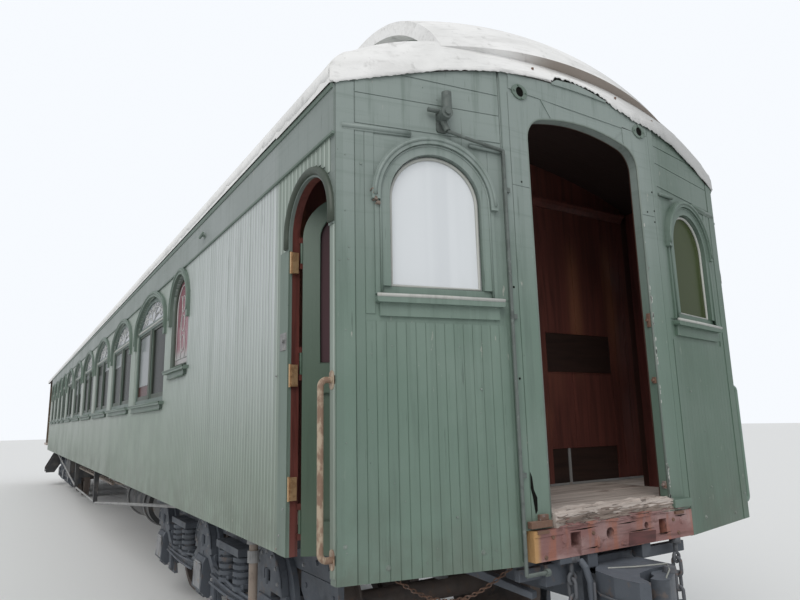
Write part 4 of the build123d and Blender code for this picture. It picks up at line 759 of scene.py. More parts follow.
def upright_board(pile, face, a, low_z, high_z, width, chamfer=0.0028):
    """One board standing on a face, with its middle at a: square back, chamfered front edges."""
    half, brink = width / 2 - 0.0003, BOARD_T - chamfer
    front = ((half, brink), (half - chamfer, BOARD_T), (chamfer - half, BOARD_T), (-half, brink))
    start = low_z if face.u.cross(face.out).z > 0 else high_z
    section = ((-half, 0), (half, 0)) + front
    pile.prism(section, face.at(a, start), face.u, face.out, abs(high_z - low_z))


pile = Pile()

# Side boards, cut round the windows and the front doorway
for side, label in sides:
    for number in range(round((CORNER_X - 0.65 - REAR_WALL_X) / BOARD_PITCH)):
        x = REAR_WALL_X + BOARD_PITCH * (number + 0.5)
        spans = [(SKIRT_Z, BOARD_TOP)]
        for middle, half, bottom, spring, rise, side_r in windows:
            off = abs(x - middle)
            if off < half + SILL_LUG:
                reach = half + HOOD_WIDE / 2
                if off < half + BOARD_PITCH / 2:
                    share = min(1.0, off / reach)
                    arch = spring + (rise + HOOD_WIDE / 2) * sqrt(1 - share**2)
                    spans = [(SKIRT_Z, bottom - APRON_LOW), (arch, BOARD_TOP)]
                else:
                    spans = [(SKIRT_Z, bottom - 0.03), (bottom, BOARD_TOP)]
        for low_z, high_z in spans:
            upright_board(pile, side_face[side], x, low_z, high_z, BOARD_PITCH)
    pile.place("side_boards_" + label, side_green, "sage_side")

# Mouldings along the sides: the bead under the letter board, the eave strip and one fixture
for side, label in sides:
    face = side_face[side]
    run = face.sign * (REAR_WALL_X - CORNER_X)
    section = ((0, 0), (0.016, 0), (0.019, 0.008), (0.016, 0.014), (0, 0.014))
    pile.prism(section, face.at(REAR_WALL_X, BOARD_TOP), face.out, UP, run)
    section = ((0, 0), (0.006, 0), (0.012, 0.012), (0.012, 0.030), (0, 0.030))
    pile.prism(section, face.at(REAR_WALL_X, EAVE_Z - 0.030, LETTER_PROUD), face.out, UP, run)
    fixture = 9.329
    pile.bolt(face, fixture, 3.195, LETTER_PROUD, 0.022, 0.006)
    pile.stud(face, fixture, 3.195, 0.01, 0.045, 0.009)
    pile.round(face.at(fixture - 0.045, 3.188, 0.038), face.at(fixture + 0.05, 3.203, 0.038), 0.010)
    pile.place("side_mouldings_" + label, trim_green, "sage_side")

# Boards, casing and hinges round the front side doorways
HINGE_ZS = (2.583, 1.998, 1.447)
CASING_TOP = 2.655
for side, label in sides:
    face = side_face[side]
    for number in range(12):
        x = 10.975 + BOARD_PITCH * number
        off = abs(x - SIDE_DOOR_X)
        arch = SIDE_DOOR_SPRING + sqrt(max(0.0, 0.291**2 - off**2))
        foot = max(arch, DOOR_HEAD_Z) if off < 0.29 + BOARD_PITCH / 2 else DOOR_HEAD_Z
        upright_board(pile, face, x, foot, BOARD_TOP, BOARD_PITCH)
    pile.slab(face, rect(11.553, SKIRT_Z, 11.598, CASING_TOP), 0.0, 0.005)
    pile.place("door_head_boards_" + label, side_green, "sage_side")
    pile.slab(face, rect(10.952, SKIRT_Z, 11.067, CASING_TOP), 0.0, 0.011, taper=0.001)
    pile.place("doorway_casing_" + label, trim_green, "sage_side")
    hood = round_arch(SIDE_DOOR_X, SIDE_DOOR_HALF, SIDE_DOOR_SPRING, 0.030)
    pile.bar(face, legs(hood, DOOR_HEAD_Z), 0.008, 0.022, 8)
    pile.place("doorway_hood_" + label, olive_shade_paint, "sage_side", smooth=True)
    for z in HINGE_ZS:
        pile.slab(face, rect(11.072, z - 0.055, 11.090, z + 0.055), -0.036, -0.002)
        pile.round(face.at(11.081, z - 0.058, 0.003), face.at(11.081, z + 0.058, 0.003), 0.006)
        pile.bolts(face, [(11.084, z + step) for step in (-0.035, 0.0, 0.035)], -0.002, 0.004, 0.003)
    pile.place("doorway_hinges_" + label, brass, "brass")
    pile.slab(face, rect(10.972, 2.130, 11.052, 2.222), 0.011, 0.016, taper=0.002)
    pile.stud(face, 11.030, 2.178, 0.016, 0.030, 0.012)
    pile.bolts(face, [(x, z) for x in (10.982, 11.042) for z in (2.142, 2.210)], 0.016, 0.005, 0.002)
    nails = ((10.945, 1.153), (10.91, 2.007), (11.02, 2.71), (11.05, 2.715), (10.98, 1.22), (11.03, 1.35))
    pile.bolts(face, nails, 0.010, 0.006, 0.004)
    pile.place("lock_plate_" + label, pale_iron, "worn_iron")

# Boards on the angled panels: corner board, narrow boards, plain boards over the window
BAND_R = (HALF**2 + 0.26**2) / (2 * 0.26)
PANEL_RUN = hypot(HALF - PORTAL_HALF, PORTAL_X - 0.008 - CORNER_X)


def band_z(y):
    """Height where the walls of the end meet the curved edge of the roof."""
    return 3.61 - BAND_R + sqrt(BAND_R**2 - y**2)


def panel_top(s):
    return band_z(HALF - s * (HALF - PORTAL_HALF) / PANEL_RUN) - 0.004


SILL_A, SILL_B = 0.170, 0.873
PANEL_PITCH, PANEL_FIRST = 0.0480, 0.1165
PANEL_BELT_Z = 3.118
PANEL_WINDOW = (0.5, 0.24, 2.80)
for side, label in sides:
    face = panel_face[side]
    for number in range(16):
        s = PANEL_FIRST + PANEL_PITCH * number
        top = 2.205 if SILL_A < s + 0.02 and s - 0.02 < SILL_B else PANEL_BELT_Z
        upright_board(pile, face, s, PANEL_Z, top, PANEL_PITCH, 0.0028 if side < 0 else 0.0005)
    upright_board(pile, face, 0.1645, 2.24, PANEL_BELT_Z, PANEL_PITCH)
    pile.slab(face, rect(0.003, PANEL_Z, 0.090, panel_top(0.05)), 0.0, 0.007, taper=0.001)
    for strip in ((0.095, PANEL_BELT_Z, 0.205, 3.155), (0.795, 2.33, 0.874, 3.150)):
        pile.slab(face, rect(*strip), 0.0, 0.003)
    lower = [(0.096, 3.158), (0.874, 3.158), (0.874, 3.306), (0.096, 3.313)]
    middle = [(0.096, 3.317), (0.874, 3.310), (0.874, 3.419), (0.311, 3.441)]
    middle += [(s, panel_top(s)) for s in (0.2, 0.096)]
    arc = [(s / 100, panel_top(s / 100)) for s in range(86, 31, -6)]
    for outline in (lower, middle, [(0.33, 3.4465), (0.874, 3.424), (0.874, panel_top(0.874))] + arc):
        pile.slab(face, outline, 0.0, 0.004, taper=0.0015)
    for low, high in ((0.186, 0.209), (0.791, 0.812)):
        pile.slab(face, rect(low, 2.33, high, 2.865), 0.003, 0.012, taper=0.002)
    pile.place("end_boards_" + label, end_green, "sage_end")
    pile.slab(face, rect(0.877, PANEL_Z + 0.02, 0.8815, panel_top(0.87)), 0.0, 0.006)
    pile.bar(face, [(0.030, 3.134), (0.20, 3.137), (0.377, 3.1395)], 0.004, 0.014)
    pile.bar(face, [(0.030, 3.120), (0.377, 3.126)], 0.003, 0.007)
    pile.bar(face, [(0.69, 3.117), (0.80, 3.109), (0.872, 3.103)], 0.012, 0.011, 8)
    pile.bar(face, legs(round_arch(*PANEL_WINDOW, 0.045), 2.335), 0.014, 0.006)
    pile.bar(face, round_arch(*PANEL_WINDOW, 0.075), 0.030, 0.009)
    pile.place("panel_mouldings_" + label, end_green, "sage_end", smooth=True)
    pile.bar(face, legs(round_arch(0.5, 0.232, 2.80, -0.004), 2.378), -0.016, 0.009, closed=True)
    pile.bar(face, [(0.186, 2.322), (0.5, 2.324), (0.834, 2.322)], 0.036, 0.010)
    pile.place("panel_sill_edge_" + label, pale_paint, "sage_end", smooth=True)
    for spot in ((0.226, 1.154), (0.674, 1.178), (0.039, 1.254)):
        pile.bolt(face, *spot, 0.003, 0.008, 0.008)
        pile.bolt(face, *spot, 0.003, 0.013, 0.004)
    nails = ((0.122, 2.951), (0.062, 2.542), (0.017, 2.479), (0.059, 2.485), (0.553, 1.337), (0.7, 1.9))
    pile.bolts(face, nails, 0.003, 0.006, 0.006)
    for number in range(14):
        s, z = PANEL_FIRST + PANEL_PITCH * chance.randrange(16), chance.uniform(1.12, 2.15)
        pile.bolt(face, s, z, 0.003, 0.0035, 0.003)
    for z in (1.30, 1.75, 2.2, 2.65, 3.05):
        pile.bolt(face, 0.045, z + chance.uniform(-0.1, 0.1), 0.006, 0.004, 0.003)
    pile.place("panel_fixings_" + label, edge_paint, "worn_iron")

# Broken foot of the window hood on the side shown
for s, z, wide, tall in (
    (0.170, 2.800, 0.030, 0.020), (0.176, 2.775, 0.022, 0.016),
    (0.186, 2.757, 0.026, 0.012), (0.166, 2.822, 0.012, 0.010),
):
    outline = [(s, z), (s + wide, z - 0.004), (s + wide * 0.9, z + tall), (s + wide * 0.3, z + tall * 1.2)]
    pile.slab(panel_face[-1], outline, 0.0, 0.030, taper=0.003)
pile.place("broken_hood_foot", worn_planks, "sage_end")

# Face boards of the portal, with joints above the posts, oval plates and latch pieces
opening = arch_line(0, PORTAL_OPENING, 3.220, 0.180, 0.140, 0.004)
ARCH_LOW = 2.944
BOARD_LOW = 1.262
WING_Y = 0.335
for side in (-1, 1):
    outer = (PORTAL_HALF - 0.052) * side
    inner = (PORTAL_OPENING + 0.004) * side
    pile.slab(portal_face, rect(inner, BOARD_LOW, outer, ARCH_LOW - 0.003), 0.0, 0.004)
    pile.slab(portal_face, mirrored(side, 0.572, 0.617, BOARD_LOW, 3.53), 0.0, 0.0025)
    wing = [(a, b) for a, b in opening if a * side > WING_Y]
    wing = wing if side > 0 else wing[::-1]
    head = [(inner, ARCH_LOW)] + wing + [(WING_Y * side, 3.475), (outer, 3.46), (outer, ARCH_LOW)]
    pile.slab(portal_face, head, 0.0, 0.004)
crown = [(a, b) for a, b in opening if abs(a) < 0.330]
pile.slab(portal_face, crown + [(-0.330, 3.478), (0.330, 3.445)], 0.0, 0.004)
top = [(y / 100, band_z(y / 100) - 0.006) for y in range(-56, 57, 8)]
pile.slab(portal_face, [(0.560, 3.465), (-0.560, 3.483)] + top, 0.0, 0.004)
pile.place("portal_boards", end_green, "sage_end")

pile.bar(portal_face, legs(opening, 1.30), 0.0, 0.0065)
pile.place("portal_edge", edge_paint, "sage_end", smooth=True)

plates, holes = Pile(), Pile()
for side in (-1, 1):
    y, z = 0.486 * side, 3.478
    plates.ring(portal_face, ellipse(y, z, 0.055, 0.043), ellipse(y, z, 0.027, 0.029), 0.004, 0.011)
    # A black disc behind each plate's hole: painted shade in the hole.
    holes.slab(portal_face, ellipse(y, z, 0.028, 0.030), 0.002, 0.0065)
    for a, b in ((-0.041, 0.0), (0.041, 0.0), (-0.010, 0.036), (0.010, -0.036)):
        plates.bolt(portal_face, y + a, z + b, 0.012, 0.006, 0.005)
# Black dots for nail holes and a black notch in the left post: painted shade.
spots = (
    (-0.506, 2.967), (-0.60, 2.9), (-0.60, 2.4), (-0.595, 1.95),
    (0.56, 3.10), (0.565, 2.98), (0.56, 2.91), (0.5, 2.965),
)
holes.bolts(portal_face, spots, 0.002, 0.006, 0.004)
notch = [
    (-0.566, 1.512), (-0.556, 1.490), (-0.549, 1.430), (-0.531, 1.395),
    (-0.533, 1.335), (-0.545, 1.322), (-0.557, 1.400), (-0.567, 1.440),
]
holes.slab(portal_face, notch, 0.002, 0.0062)
plates.place("portal_plates", trim_green, "sage_end")
holes.place("portal_holes", shade_black, "underframe_black")

for z, tall in ((2.304, 0.040), (1.959, 0.018), (1.385, 0.020)):
    low = (PORTAL_X - 0.028, PORTAL_OPENING - 0.009, z - tall)
    pile.box(low, (PORTAL_X - 0.006, PORTAL_OPENING + 0.004, z + tall))
    tip, root = [(PORTAL_X - 0.02, PORTAL_OPENING - back, z) for back in (0.020, 0.006)]
    pile.round(tip, root, 0.009)
pile.slab(portal_face, rect(-0.600, BOARD_LOW, -0.470, 1.292), 0.003, 0.034)
pile.slab(portal_face, rect(-0.535, 1.292, -0.480, 1.318), 0.003, 0.022)
pile.place("latch_pieces", rusty, "worn_iron", bevel=0.002)
for number in range(46):
    z = chance.choice([chance.uniform(*reach) for reach in ((1.31, 1.50), (2.02, 2.50), (1.31, 2.9))])
    y, tall = PORTAL_OPENING + chance.uniform(0.004, 0.016), chance.uniform(0.004, 0.020)
    pile.slab(portal_face, ellipse(y, z, chance.uniform(0.003, 0.007), tall, 7), 0.003, 0.0052)
pile.place("chipped_edge", pale_paint, "sage_end")
pile.box((PORTAL_X + 0.004, 0.425, 1.268), (PORTAL_X + 0.050, 0.575, 1.312))
pile.box((PORTAL_X + 0.004, 0.400, 1.252), (PORTAL_X + 0.030, 0.560, 1.268))
pile.place("portal_foot_block", end_green, "sage_end", bevel=0.004)


# Canvas edge strips over the eaves and round the front and rear ends
def ragged(number, reach):
    """A repeatable uneven line, between -reach and reach."""
    return reach * (0.6 * sin(number * 1.7) * sin(number * 0.37 + 1) + 0.4 * sin(number * 0.113 + 2))


for side, label in sides:
    rows = [[] for part in range(4)]
    count = 420
    for i in range(count + 1):
        x = REAR_WALL_X + (CORNER_X - REAR_WALL_X) * i / count
        wave = ragged(i + (0 if side < 0 else 50), 0.007) + chance.uniform(-0.002, 0.002)
        torn = 0.020 if chance.random() < 0.06 else 0.0
        rows[0].append((x, side * (1.5165 + wave * 0.2), 3.368 + wave + torn))
        rows[1].append((x, side * (1.5195 + wave * 0.2), 3.395))
        rows[2].append((x, side * 1.5185, 3.412))
        rows[3].append((x, side * (1.5060 + wave * 0.1), 3.4500))
    pile.sheet(rows, (0, -side * 0.0025, -0.001))
    strip = pile.place("eave_canvas_" + label, canvas, "canvas", smooth=True)
    # A black strip under the canvas edge: painted shadow of the drip.
    low = side_face[side].at(REAR_WALL_X, 3.349, 0.012)
    high = side_face[side].at(CORNER_X, 3.368, 0.028)
    pile.box([min(pair) for pair in zip(low, high)], [max(pair) for pair in zip(low, high)])
    pile.place("eave_shadow_strip_" + label, shade_black, "underframe_black")

HOOD_LINE_X = 11.792
NOSE_X, NOSE_Z = 10.800, 3.190


def hood_radius(y):
    crown, edge = 1.085, 0.845
    big = (HALF**2 + (crown - edge) ** 2) / (2 * (crown - edge))
    return crown - big + sqrt(max(0.0, big**2 - y**2))


def edge_x(y):
    """Plan of the end of the roof, as a distance along the car."""
    if abs(y) < PORTAL_HALF:
        return HOOD_LINE_X
    return CORNER_X + (ROOF_EDGE_Y - abs(y)) * (HOOD_LINE_X - CORNER_X) / (ROOF_EDGE_Y - PORTAL_HALF)


def hood_top(x, y):
    return NOSE_Z + sqrt(max(0.0, hood_radius(y) ** 2 - (x - NOSE_X) ** 2))


# Lower edge of the front canvas: distance across, height above the wall's top edge
front_edge = (
    (-1.515, -0.006), (-1.2, -0.010), (-0.90, -0.004), (-0.63, -0.008), (-0.41, -0.004), (-0.30, 0.002),
    (-0.235, 0.004), (-0.22, 0.034), (-0.10, 0.040), (-0.06, 0.044), (0.03, 0.036), (0.14, 0.022),
    (0.20, 0.004), (0.275, -0.026), (0.36, -0.040), (0.424, -0.052), (0.52, -0.048), (0.582, -0.052),
    (0.70, -0.045), (0.85, -0.030), (1.05, -0.022), (1.25, -0.012), (1.515, -0.006),
)


def line_at(table, y):
    for (low, a), (high, b) in zip(table, table[1:]):
        if low <= y <= high:
            return a + (b - a) * (y - low) / (high - low)
    return table[-1][1]


for end, label in ((1, "front"), (-1, "rear")):
    rows = [[] for part in range(6)]
    count = 300
    for i in range(count + 1):
        y = -1.515 + 3.03 * i / count
        drop = line_at(front_edge, y) if end > 0 else -0.008
        tear = 0.010 if end > 0 and -0.25 < y < 0.75 else 0.004
        wave = ragged(i * 0.9, tear) + chance.uniform(-0.3, 0.3) * tear
        swell = 0.004 + 0.003 * sin(i * 0.31) * sin(i * 0.07 + 1)
        x, band = edge_x(y), band_z(min(abs(y), HALF))
        top = max(hood_top(x, y), band + 0.02)
        rows[0].append((end * (x + swell + 0.004), y, band + drop + wave))
        rows[1].append((end * (x + swell + 0.001), y, max(band + drop + 0.012, band + 0.012)))
        rows[2].append((end * (x + 0.003), y, max(top - 0.006, band + drop + 0.02)))
        for row, back, lift in ((3, 0.022, 0.006), (4, 0.060, 0.005), (5, 0.110, -0.004)):
            z = max(hood_top(x - back, y), band + 0.02)
            cap = 3.745
            if abs(y) >= 0.8:
                cap = 3.405 + 0.34 * sqrt(max(0.0, (ROOF_EDGE_Y - abs(y)) / (ROOF_EDGE_Y - 0.8)))
            rows[row].append((end * (x - back), y, min(z, cap) + lift))
    pile.sheet(rows, (-end * 0.003, 0, -0.0015))
    strip = pile.place(label + "_canvas_edge", canvas, "canvas", smooth=True)
edge_face = end_plane(HOOD_LINE_X)
torn = [y / 100 for y in range(-24, 21, 4)]
lower = [(y, band_z(y) - 0.012) for y in torn]
upper = [(y, band_z(y) + max(0.0, line_at(front_edge, y) - 0.012)) for y in torn]
# A black sheet just behind the torn lip of the canvas: painted shade of the gap.
gap = [(y, z + 0.016) for y, z in lower] + [(y, z + 0.022) for y, z in upper[::-1]]
pile.slab(edge_face, gap, -0.004, 0.0015)
pile.place("torn_canvas_gap", shade_black, "underframe_black")
pile.slab(edge_face, lower + upper[::-1], -0.004, 0.004)
pile.place("bare_head_board", end_green, "sage_end")

# Nails along the canvas edge
for y in (-0.35, 0.33, 0.68):
    x = edge_x(y)
    at = Vector((x - 0.03, y, max(hood_top(x - 0.03, y), band_z(abs(y)) + 0.02)))
    pile.round(at, at + Vector((0.004, 0, 0.012)), 0.007, 8)
pile.place("canvas_nails", rusty, "worn_iron")


# Windows: panes, leaded arches, transom strips and sash beads
LIGHT_TOP = TRANSOM_Z - BAR / 2
ARCH_FOOT = TRANSOM_Z + BAR / 2
BEAD = 0.024
# How far the pale pane comes down in the left and the right light
pale_drops = (
    (0, 0), (0.56, 0), (0.20, 0), (0, 0.15), (0.1, 0), (0.3, 0.3),
    (0, 0), (0.4, 0), (0, 0.2), (0.25, 0), (0, 0),
)
for side, label in sides:
    face = side_face[side]
    lead, panes, rose, bars, pale, dark, red, stiles = [Pile() for part in range(8)]
    for number, (middle, half, bottom, spring, rise, side_r) in enumerate(windows):
        depth = sash_depth(half)
        if number == 0:
            light = arch_line(middle, half, spring, rise, side_r, grow=-0.030)
            outline = footed(light, bottom + 0.032)
            rose.slab(face, outline, -0.034, -0.030)
            stiles.bar(face, outline, -0.026, 0.014, closed=True)
            inner = arch_line(middle, half, spring, rise, side_r, grow=-0.085)
            lead.bar(face, footed(inner, bottom + 0.09), -0.027, 0.0045, closed=True)
            for a in (-0.07, 0.07):
                sway = [(middle + a + 0.028 * sin(k * 0.9), bottom + 0.09 + k * 0.05) for k in range(12)]
                lead.bar(face, sway, -0.028, 0.0032)
            for k in range(3):
                loop = ellipse(middle, bottom + 0.22 + k * 0.17, 0.055, 0.07, 14)
                lead.bar(face, loop, -0.028, 0.0032, closed=True)
            continue
        arch = arch_line(middle, half, spring, rise, side_r, grow=-STILE + 0.002)
        arch = [(a, b) for a, b in arch if b > ARCH_FOOT + 0.004]
        span = half - STILE
        outline = [(middle - span, ARCH_FOOT - 0.002), (middle + span, ARCH_FOOT - 0.002)] + arch
        n = -depth - 0.014
        panes.slab(face, outline, n - 0.004, n)
        inner = [(middle + (a - middle) * 0.80, ARCH_FOOT + (b - ARCH_FOOT) * 0.78) for a, b in arch]
        n += 0.003
        lead.bar(face, legs(inner, ARCH_FOOT), n, 0.0055)
        lead.bar(face, ellipse(middle, ARCH_FOOT + 0.085, 0.090, 0.066, 18), n, 0.0055, closed=True)
        for step in range(1, 12):
            t = pi * step / 12
            inner_point = (middle + 0.100 * cos(t), ARCH_FOOT + 0.020 + 0.130 * sin(t) * 0.8)
            outer_z = ARCH_FOOT + (rise - 0.09) * 0.86 * sin(t) ** 0.8
            outer_point = (middle + span * 0.80 * cos(t), outer_z)
            bow = 0.020 if step % 2 else -0.020
            half_way = [(p + q) / 2 + bow for p, q in zip(inner_point, outer_point)]
            lead.bar(face, [inner_point, half_way, outer_point], n, 0.0042, 5)
        for a in (-0.52, 0.52):
            loop = ellipse(middle + a * span, ARCH_FOOT + 0.085, 0.062, 0.055, 14)
            lead.bar(face, loop, n, 0.0045, closed=True)
        bars.bar(face, [(middle - span, TRANSOM_Z), (middle + span, TRANSOM_Z)], -depth + 0.002, 0.011)
        mullion = rect(middle - MULLION_HALF, bottom + STILE, middle + MULLION_HALF, LIGHT_TOP)
        stiles.slab(face, mullion, -depth, 0.006 - depth, taper=0.002)
        edges = ((middle - span, middle - MULLION_HALF), (middle + MULLION_HALF, middle + span))
        for (low_a, high_a), drop in zip(edges, pale_drops[number]):
            stiles.ring(
                face,
                rect(low_a, bottom + STILE, high_a, LIGHT_TOP),
                rect(low_a + BEAD, bottom + STILE + 0.045, high_a - BEAD, LIGHT_TOP - BEAD),
                -depth - 0.030,
                -depth - 0.010,
            )
            n, low_z = -depth - 0.020, LIGHT_TOP - drop
            # Below each blind a dark sheet stands for the dim inside seen through the glass: painted shade;
            # in the second window it is dark red.
            lower = red if number == 1 and drop else dark
            lower.slab(face, rect(low_a + 0.01, bottom + STILE, high_a - 0.01, low_z), n - 0.004, n)
            if drop:
                pale.slab(face, rect(low_a + 0.01, low_z, high_a - 0.01, LIGHT_TOP), n - 0.004, n)
                pale.bar(face, [(low_a + 0.03, low_z), (high_a - 0.03, low_z)], n, 0.006)
    lead.place("window_tracery_" + label, blind_white, "clear_glass", smooth=True)
    panes.place("arch_glass_" + label, lead_glass, "clear_glass")
    rose.place("lookout_glass_" + label, rose_glass, "clear_glass")
    bars.place("transom_strips_" + label, pale_paint, "sage_side")
    stiles.place("sash_beads_" + label, olive_shade_paint, "sage_side")
    pale.place("pale_panes_" + label, pale_pane, "clear_glass")
    dark.place("dark_panes_" + label, dark_pane, "clear_glass")
    red.place("red_panes_" + label, red_pane, "clear_glass")

# Beads along the window hoods, sills and aprons
for side, label in sides:
    face = side_face[side]
    for middle, half, bottom, spring, rise, side_r in windows:
        hood = arch_line(middle, half, spring, rise, side_r, grow=HOOD_WIDE * 0.62)
        pile.bar(face, legs(hood, spring - HOOD_WIDE), 0.028, 0.010)
        beads = ((half + SILL_LUG, 0.006, 0.050, 0.007), (half, APRON_LOW, 0.022, 0.008))
        for reach, low, n, radius in beads:
            pile.bar(face, [(middle - reach, bottom - low), (middle + reach, bottom - low)], n, radius)
    pile.place("hood_beads_" + label, trim_green, "sage_side", smooth=True)

# Glass, beads and mouldings of the doors
LEAF_MIDDLE, LEAF_LIGHT, LEAF_OUT = 0.23635, 0.14035, 0.003
for side, label in sides:
    face = leaf_face[side]
    body = label + "_vestibule_door"
    light = round_arch(LEAF_MIDDLE, LEAF_LIGHT, SIDE_DOOR_SPRING, -0.0005)
    pile.slab(face, footed(light, 2.0605), LEAF_OUT - 0.024, LEAF_OUT - 0.018)
    pile.place("leaf_glass_" + label, door_glass, "clear_glass", body)
    for n in (LEAF_OUT, LEAF_OUT - 0.040):
        pile.bar(face, footed(light, 2.062), n, 0.0035, closed=True)
        pile.bar(face, rect(0.100, 1.294, 0.373, 1.906), n, 0.0035, closed=True)
    pile.slab(face, rect(0.060, 1.135, 0.412, 1.230), LEAF_OUT, LEAF_OUT + 0.0016)
    pile.place("leaf_beads_" + label, door_green if side < 0 else mahogany, "door_green", body)
    pile.slab(face, rect(0.418, 1.985, 0.452, 2.120), LEAF_OUT, LEAF_OUT + 0.002)
    pile.stud(face, 0.435, 2.075, LEAF_OUT, LEAF_OUT + 0.0018, 0.012, 12)
    pile.place("leaf_lock_" + label, brass, "brass", body)

for end, wall_x, body in ((1, 10.8527, "front_door"), (-1, -9.3527, "rear_door")):
    face = end_plane(wall_x, end)
    pile.slab(face, rect(-0.2395, 2.1505, 0.2395, 3.0395), -0.026, -0.020)
    pile.place(body + "_glass", door_glass, "clear_glass", body)
    for n in (0.0, -0.045):
        pile.bar(face, rect(-0.240, 2.150, 0.240, 3.040), n, 0.003, closed=True)
        pile.bar(face, rect(-0.240, 1.450, 0.240, 2.020), n, 0.003, closed=True)
    pile.stud(face, 0.315, 2.085, 0.0, 0.030, 0.008)
    pile.stud(face, 0.315, 2.085, 0.030, 0.052, 0.024, 12, 0.018)
    pile.slab(face, rect(0.295, 1.98, 0.335, 2.15), 0.0, 0.003)
    pile.place(body + "_beads", brass if end > 0 else mahogany, "brass", body)

# Inside the vestibule: panelling of the end wall, cornice, side battens and foot strips
for side in (-1, 1):
    for board in (
        (0.469, 1.112, 2.076, 2.347), (0.440, 0.608, 1.325, 1.556), (0.630, 1.105, 1.325, 1.556),
    ):
        pile.slab(wall_face, mirrored(side, *board), 0.0, 0.0035, taper=0.001)
pile.place("dark_wall_panels", dark_wood, "mahogany")
for side in (-1, 1):
    for board in (
        (0.400, 0.466, 1.320, 3.28), (1.116, 1.190, 1.320, 3.28), (1.300, 1.366, 1.320, 3.28),
        (0.466, 0.700, 1.560, 2.072), (0.706, 1.116, 1.560, 2.072),
        (0.466, 0.770, 2.352, 3.10), (0.776, 1.116, 2.352, 3.10),
    ):
        pile.slab(wall_face, mirrored(side, *board), 0.0, 0.006, taper=0.002)
    for heights in ((2.348, 2.354), (2.068, 2.074), (1.556, 1.562)):
        pile.slab(wall_face, mirrored(side, 0.466, 1.116, *heights), 0.0, 0.010)
section = ((0, 0), (0.014, 0), (0.030, 0.030), (0.052, 0.044), (0.052, 0.062), (0, 0.062))
pile.prism(section, (FRONT_WALL_X, -1.36, 3.268), (1, 0, 0), UP, -2.72)
for side in (-1, 1):
    low = (FRONT_WALL_X, side * 1.434, 3.290)
    pile.prism(rect(0, 0, 0.05, 0.05), low, (0, -side, 0), UP, side * 0.60)
pile.place("vestibule_panelling", mahogany, "mahogany")
pile.slab(wall_face, rect(0.609, 1.318, 0.629, 1.556), 0.003, 0.010)
pile.slab(wall_face, rect(0.42, 1.316, 1.36, 1.330), 0.003, 0.012)
pile.place("wall_foot_strips", pale_iron, "worn_iron")

# Worn threshold planks and splinters over the beam
for number in range(4):
    low_x = 11.690 + 0.030 * number
    rows = []
    for step in range(3):
        row = []
        for i in range(45):
            y = -0.436 + 0.872 * i / 44
            rise = 0.010 + 0.006 * sin(i * 0.8 + number) * sin(i * 0.23) + chance.uniform(-0.002, 0.002)
            lift = (0.004, rise, 0.003)[step] - 0.006 * number / 3
            row.append((low_x + (0.001, 0.015, 0.029)[step], y, FLOOR_Z + max(lift, 0.001)))
        rows.append(row)
    pile.sheet(rows, (0, 0, -0.006))
pile.place("worn_threshold", planks, "planks", smooth=True)
for number in range(60):
    y = chance.uniform(-0.42, 0.43)
    x = chance.uniform(11.735, 11.806)
    z = 1.2515 if abs(y) > 0.4436 else FLOOR_Z
    long = chance.uniform(0.02, 0.14)
    wide, tall = chance.uniform(0.004, 0.012), chance.uniform(0.004, 0.012)
    outline = ((0, 0), (long, wide * 0.3), (long * 0.7, wide), (long * 0.1, wide * 0.8))
    pile.prism(outline, (x, y, z - 0.002), (0.08, 1, chance.uniform(0, 0.10)), (-1, 0.08, 0), tall)
pile.place("splinters", planks, "planks")
piles = [Pile() for part in range(3)]
for number in range(260):
    y, z = chance.uniform(-0.446, 0.40), 1.249 + 0.062 * chance.random()
    long, tall = chance.uniform(0.02, 0.15), chance.uniform(0.002, 0.008)
    outline = [(0, 0), (long * 0.4, -tall * 0.6), (long, tall * 0.2), (long * 0.6, tall)]
    outline.append((long * 0.1, tall * 0.8))
    proud, slope = chance.uniform(0.001, 0.009), chance.uniform(-0.05, 0.05)
    kind = min(2, int((1.312 - z) / 0.063 * 2 + chance.random() * 1.3))
    piles[kind].prism(outline, (11.811, y, z), (0.03, 1, slope), UP, proud + 0.002)
for fibres, name, material in zip(piles, ("pale", "brown", "red"), (planks, worn_planks, beam_red)):
    fibres.place(name + "_torn_fibres", material, "planks")

# Beam: blocks and knots, nuts and plates, splits and the sunk centre block
pile.slab(beam_face, rect(-0.585, 1.222, -0.40, 1.2495), 0.0, 0.006, taper=0.003)
for knot in (
    (-0.40, 1.20, 0.020, 0.026), (-0.17, 1.16, 0.018, 0.03),
    (0.49, 1.20, 0.016, 0.022), (0.02, 1.135, 0.03, 0.012),
):
    pile.slab(beam_face, ellipse(*knot, 7), 0.0, 0.008, taper=0.005)
pile.place("beam_blocks", beam_red, "beam_red")
nuts = ((-0.47, 1.215), (-0.20, 1.205), (0.42, 1.21), (0.455, 1.14), (-0.52, 1.13))
pile.bolts(beam_face, nuts, 0.0, 0.011, 0.006, 6)
for y in (-0.535, 0.47):
    pile.slab(beam_face, rect(y - 0.035, 1.236, y + 0.035, 1.250), 0.0, 0.012)
pile.place("beam_iron", rusty, "worn_iron")
# The splits are thin black sheets: painted shade in the cracks.
for y, z, long in (
    (-0.36, 1.232, 0.20), (-0.02, 1.229, 0.16), (0.28, 1.150, 0.12),
    (-0.25, 1.140, 0.10), (0.44, 1.226, 0.10), (0.05, 1.183, 0.21),
):
    split = [(y, z), (y + long / 2, z - 0.004), (y + long, z + 0.002), (y + long / 2, z + 0.002)]
    pile.slab(beam_face, split, 0.0, 0.0012)
pile.place("beam_splits", shade_black, "underframe_black")
block = [(0.047, 1.118), (0.262, 1.116), (0.270, 1.172), (0.060, 1.178)]
pile.slab(beam_face, block, 0.0, 0.004, taper=0.004)
pile.place("beam_sunk_block", dark_red, "beam_red")

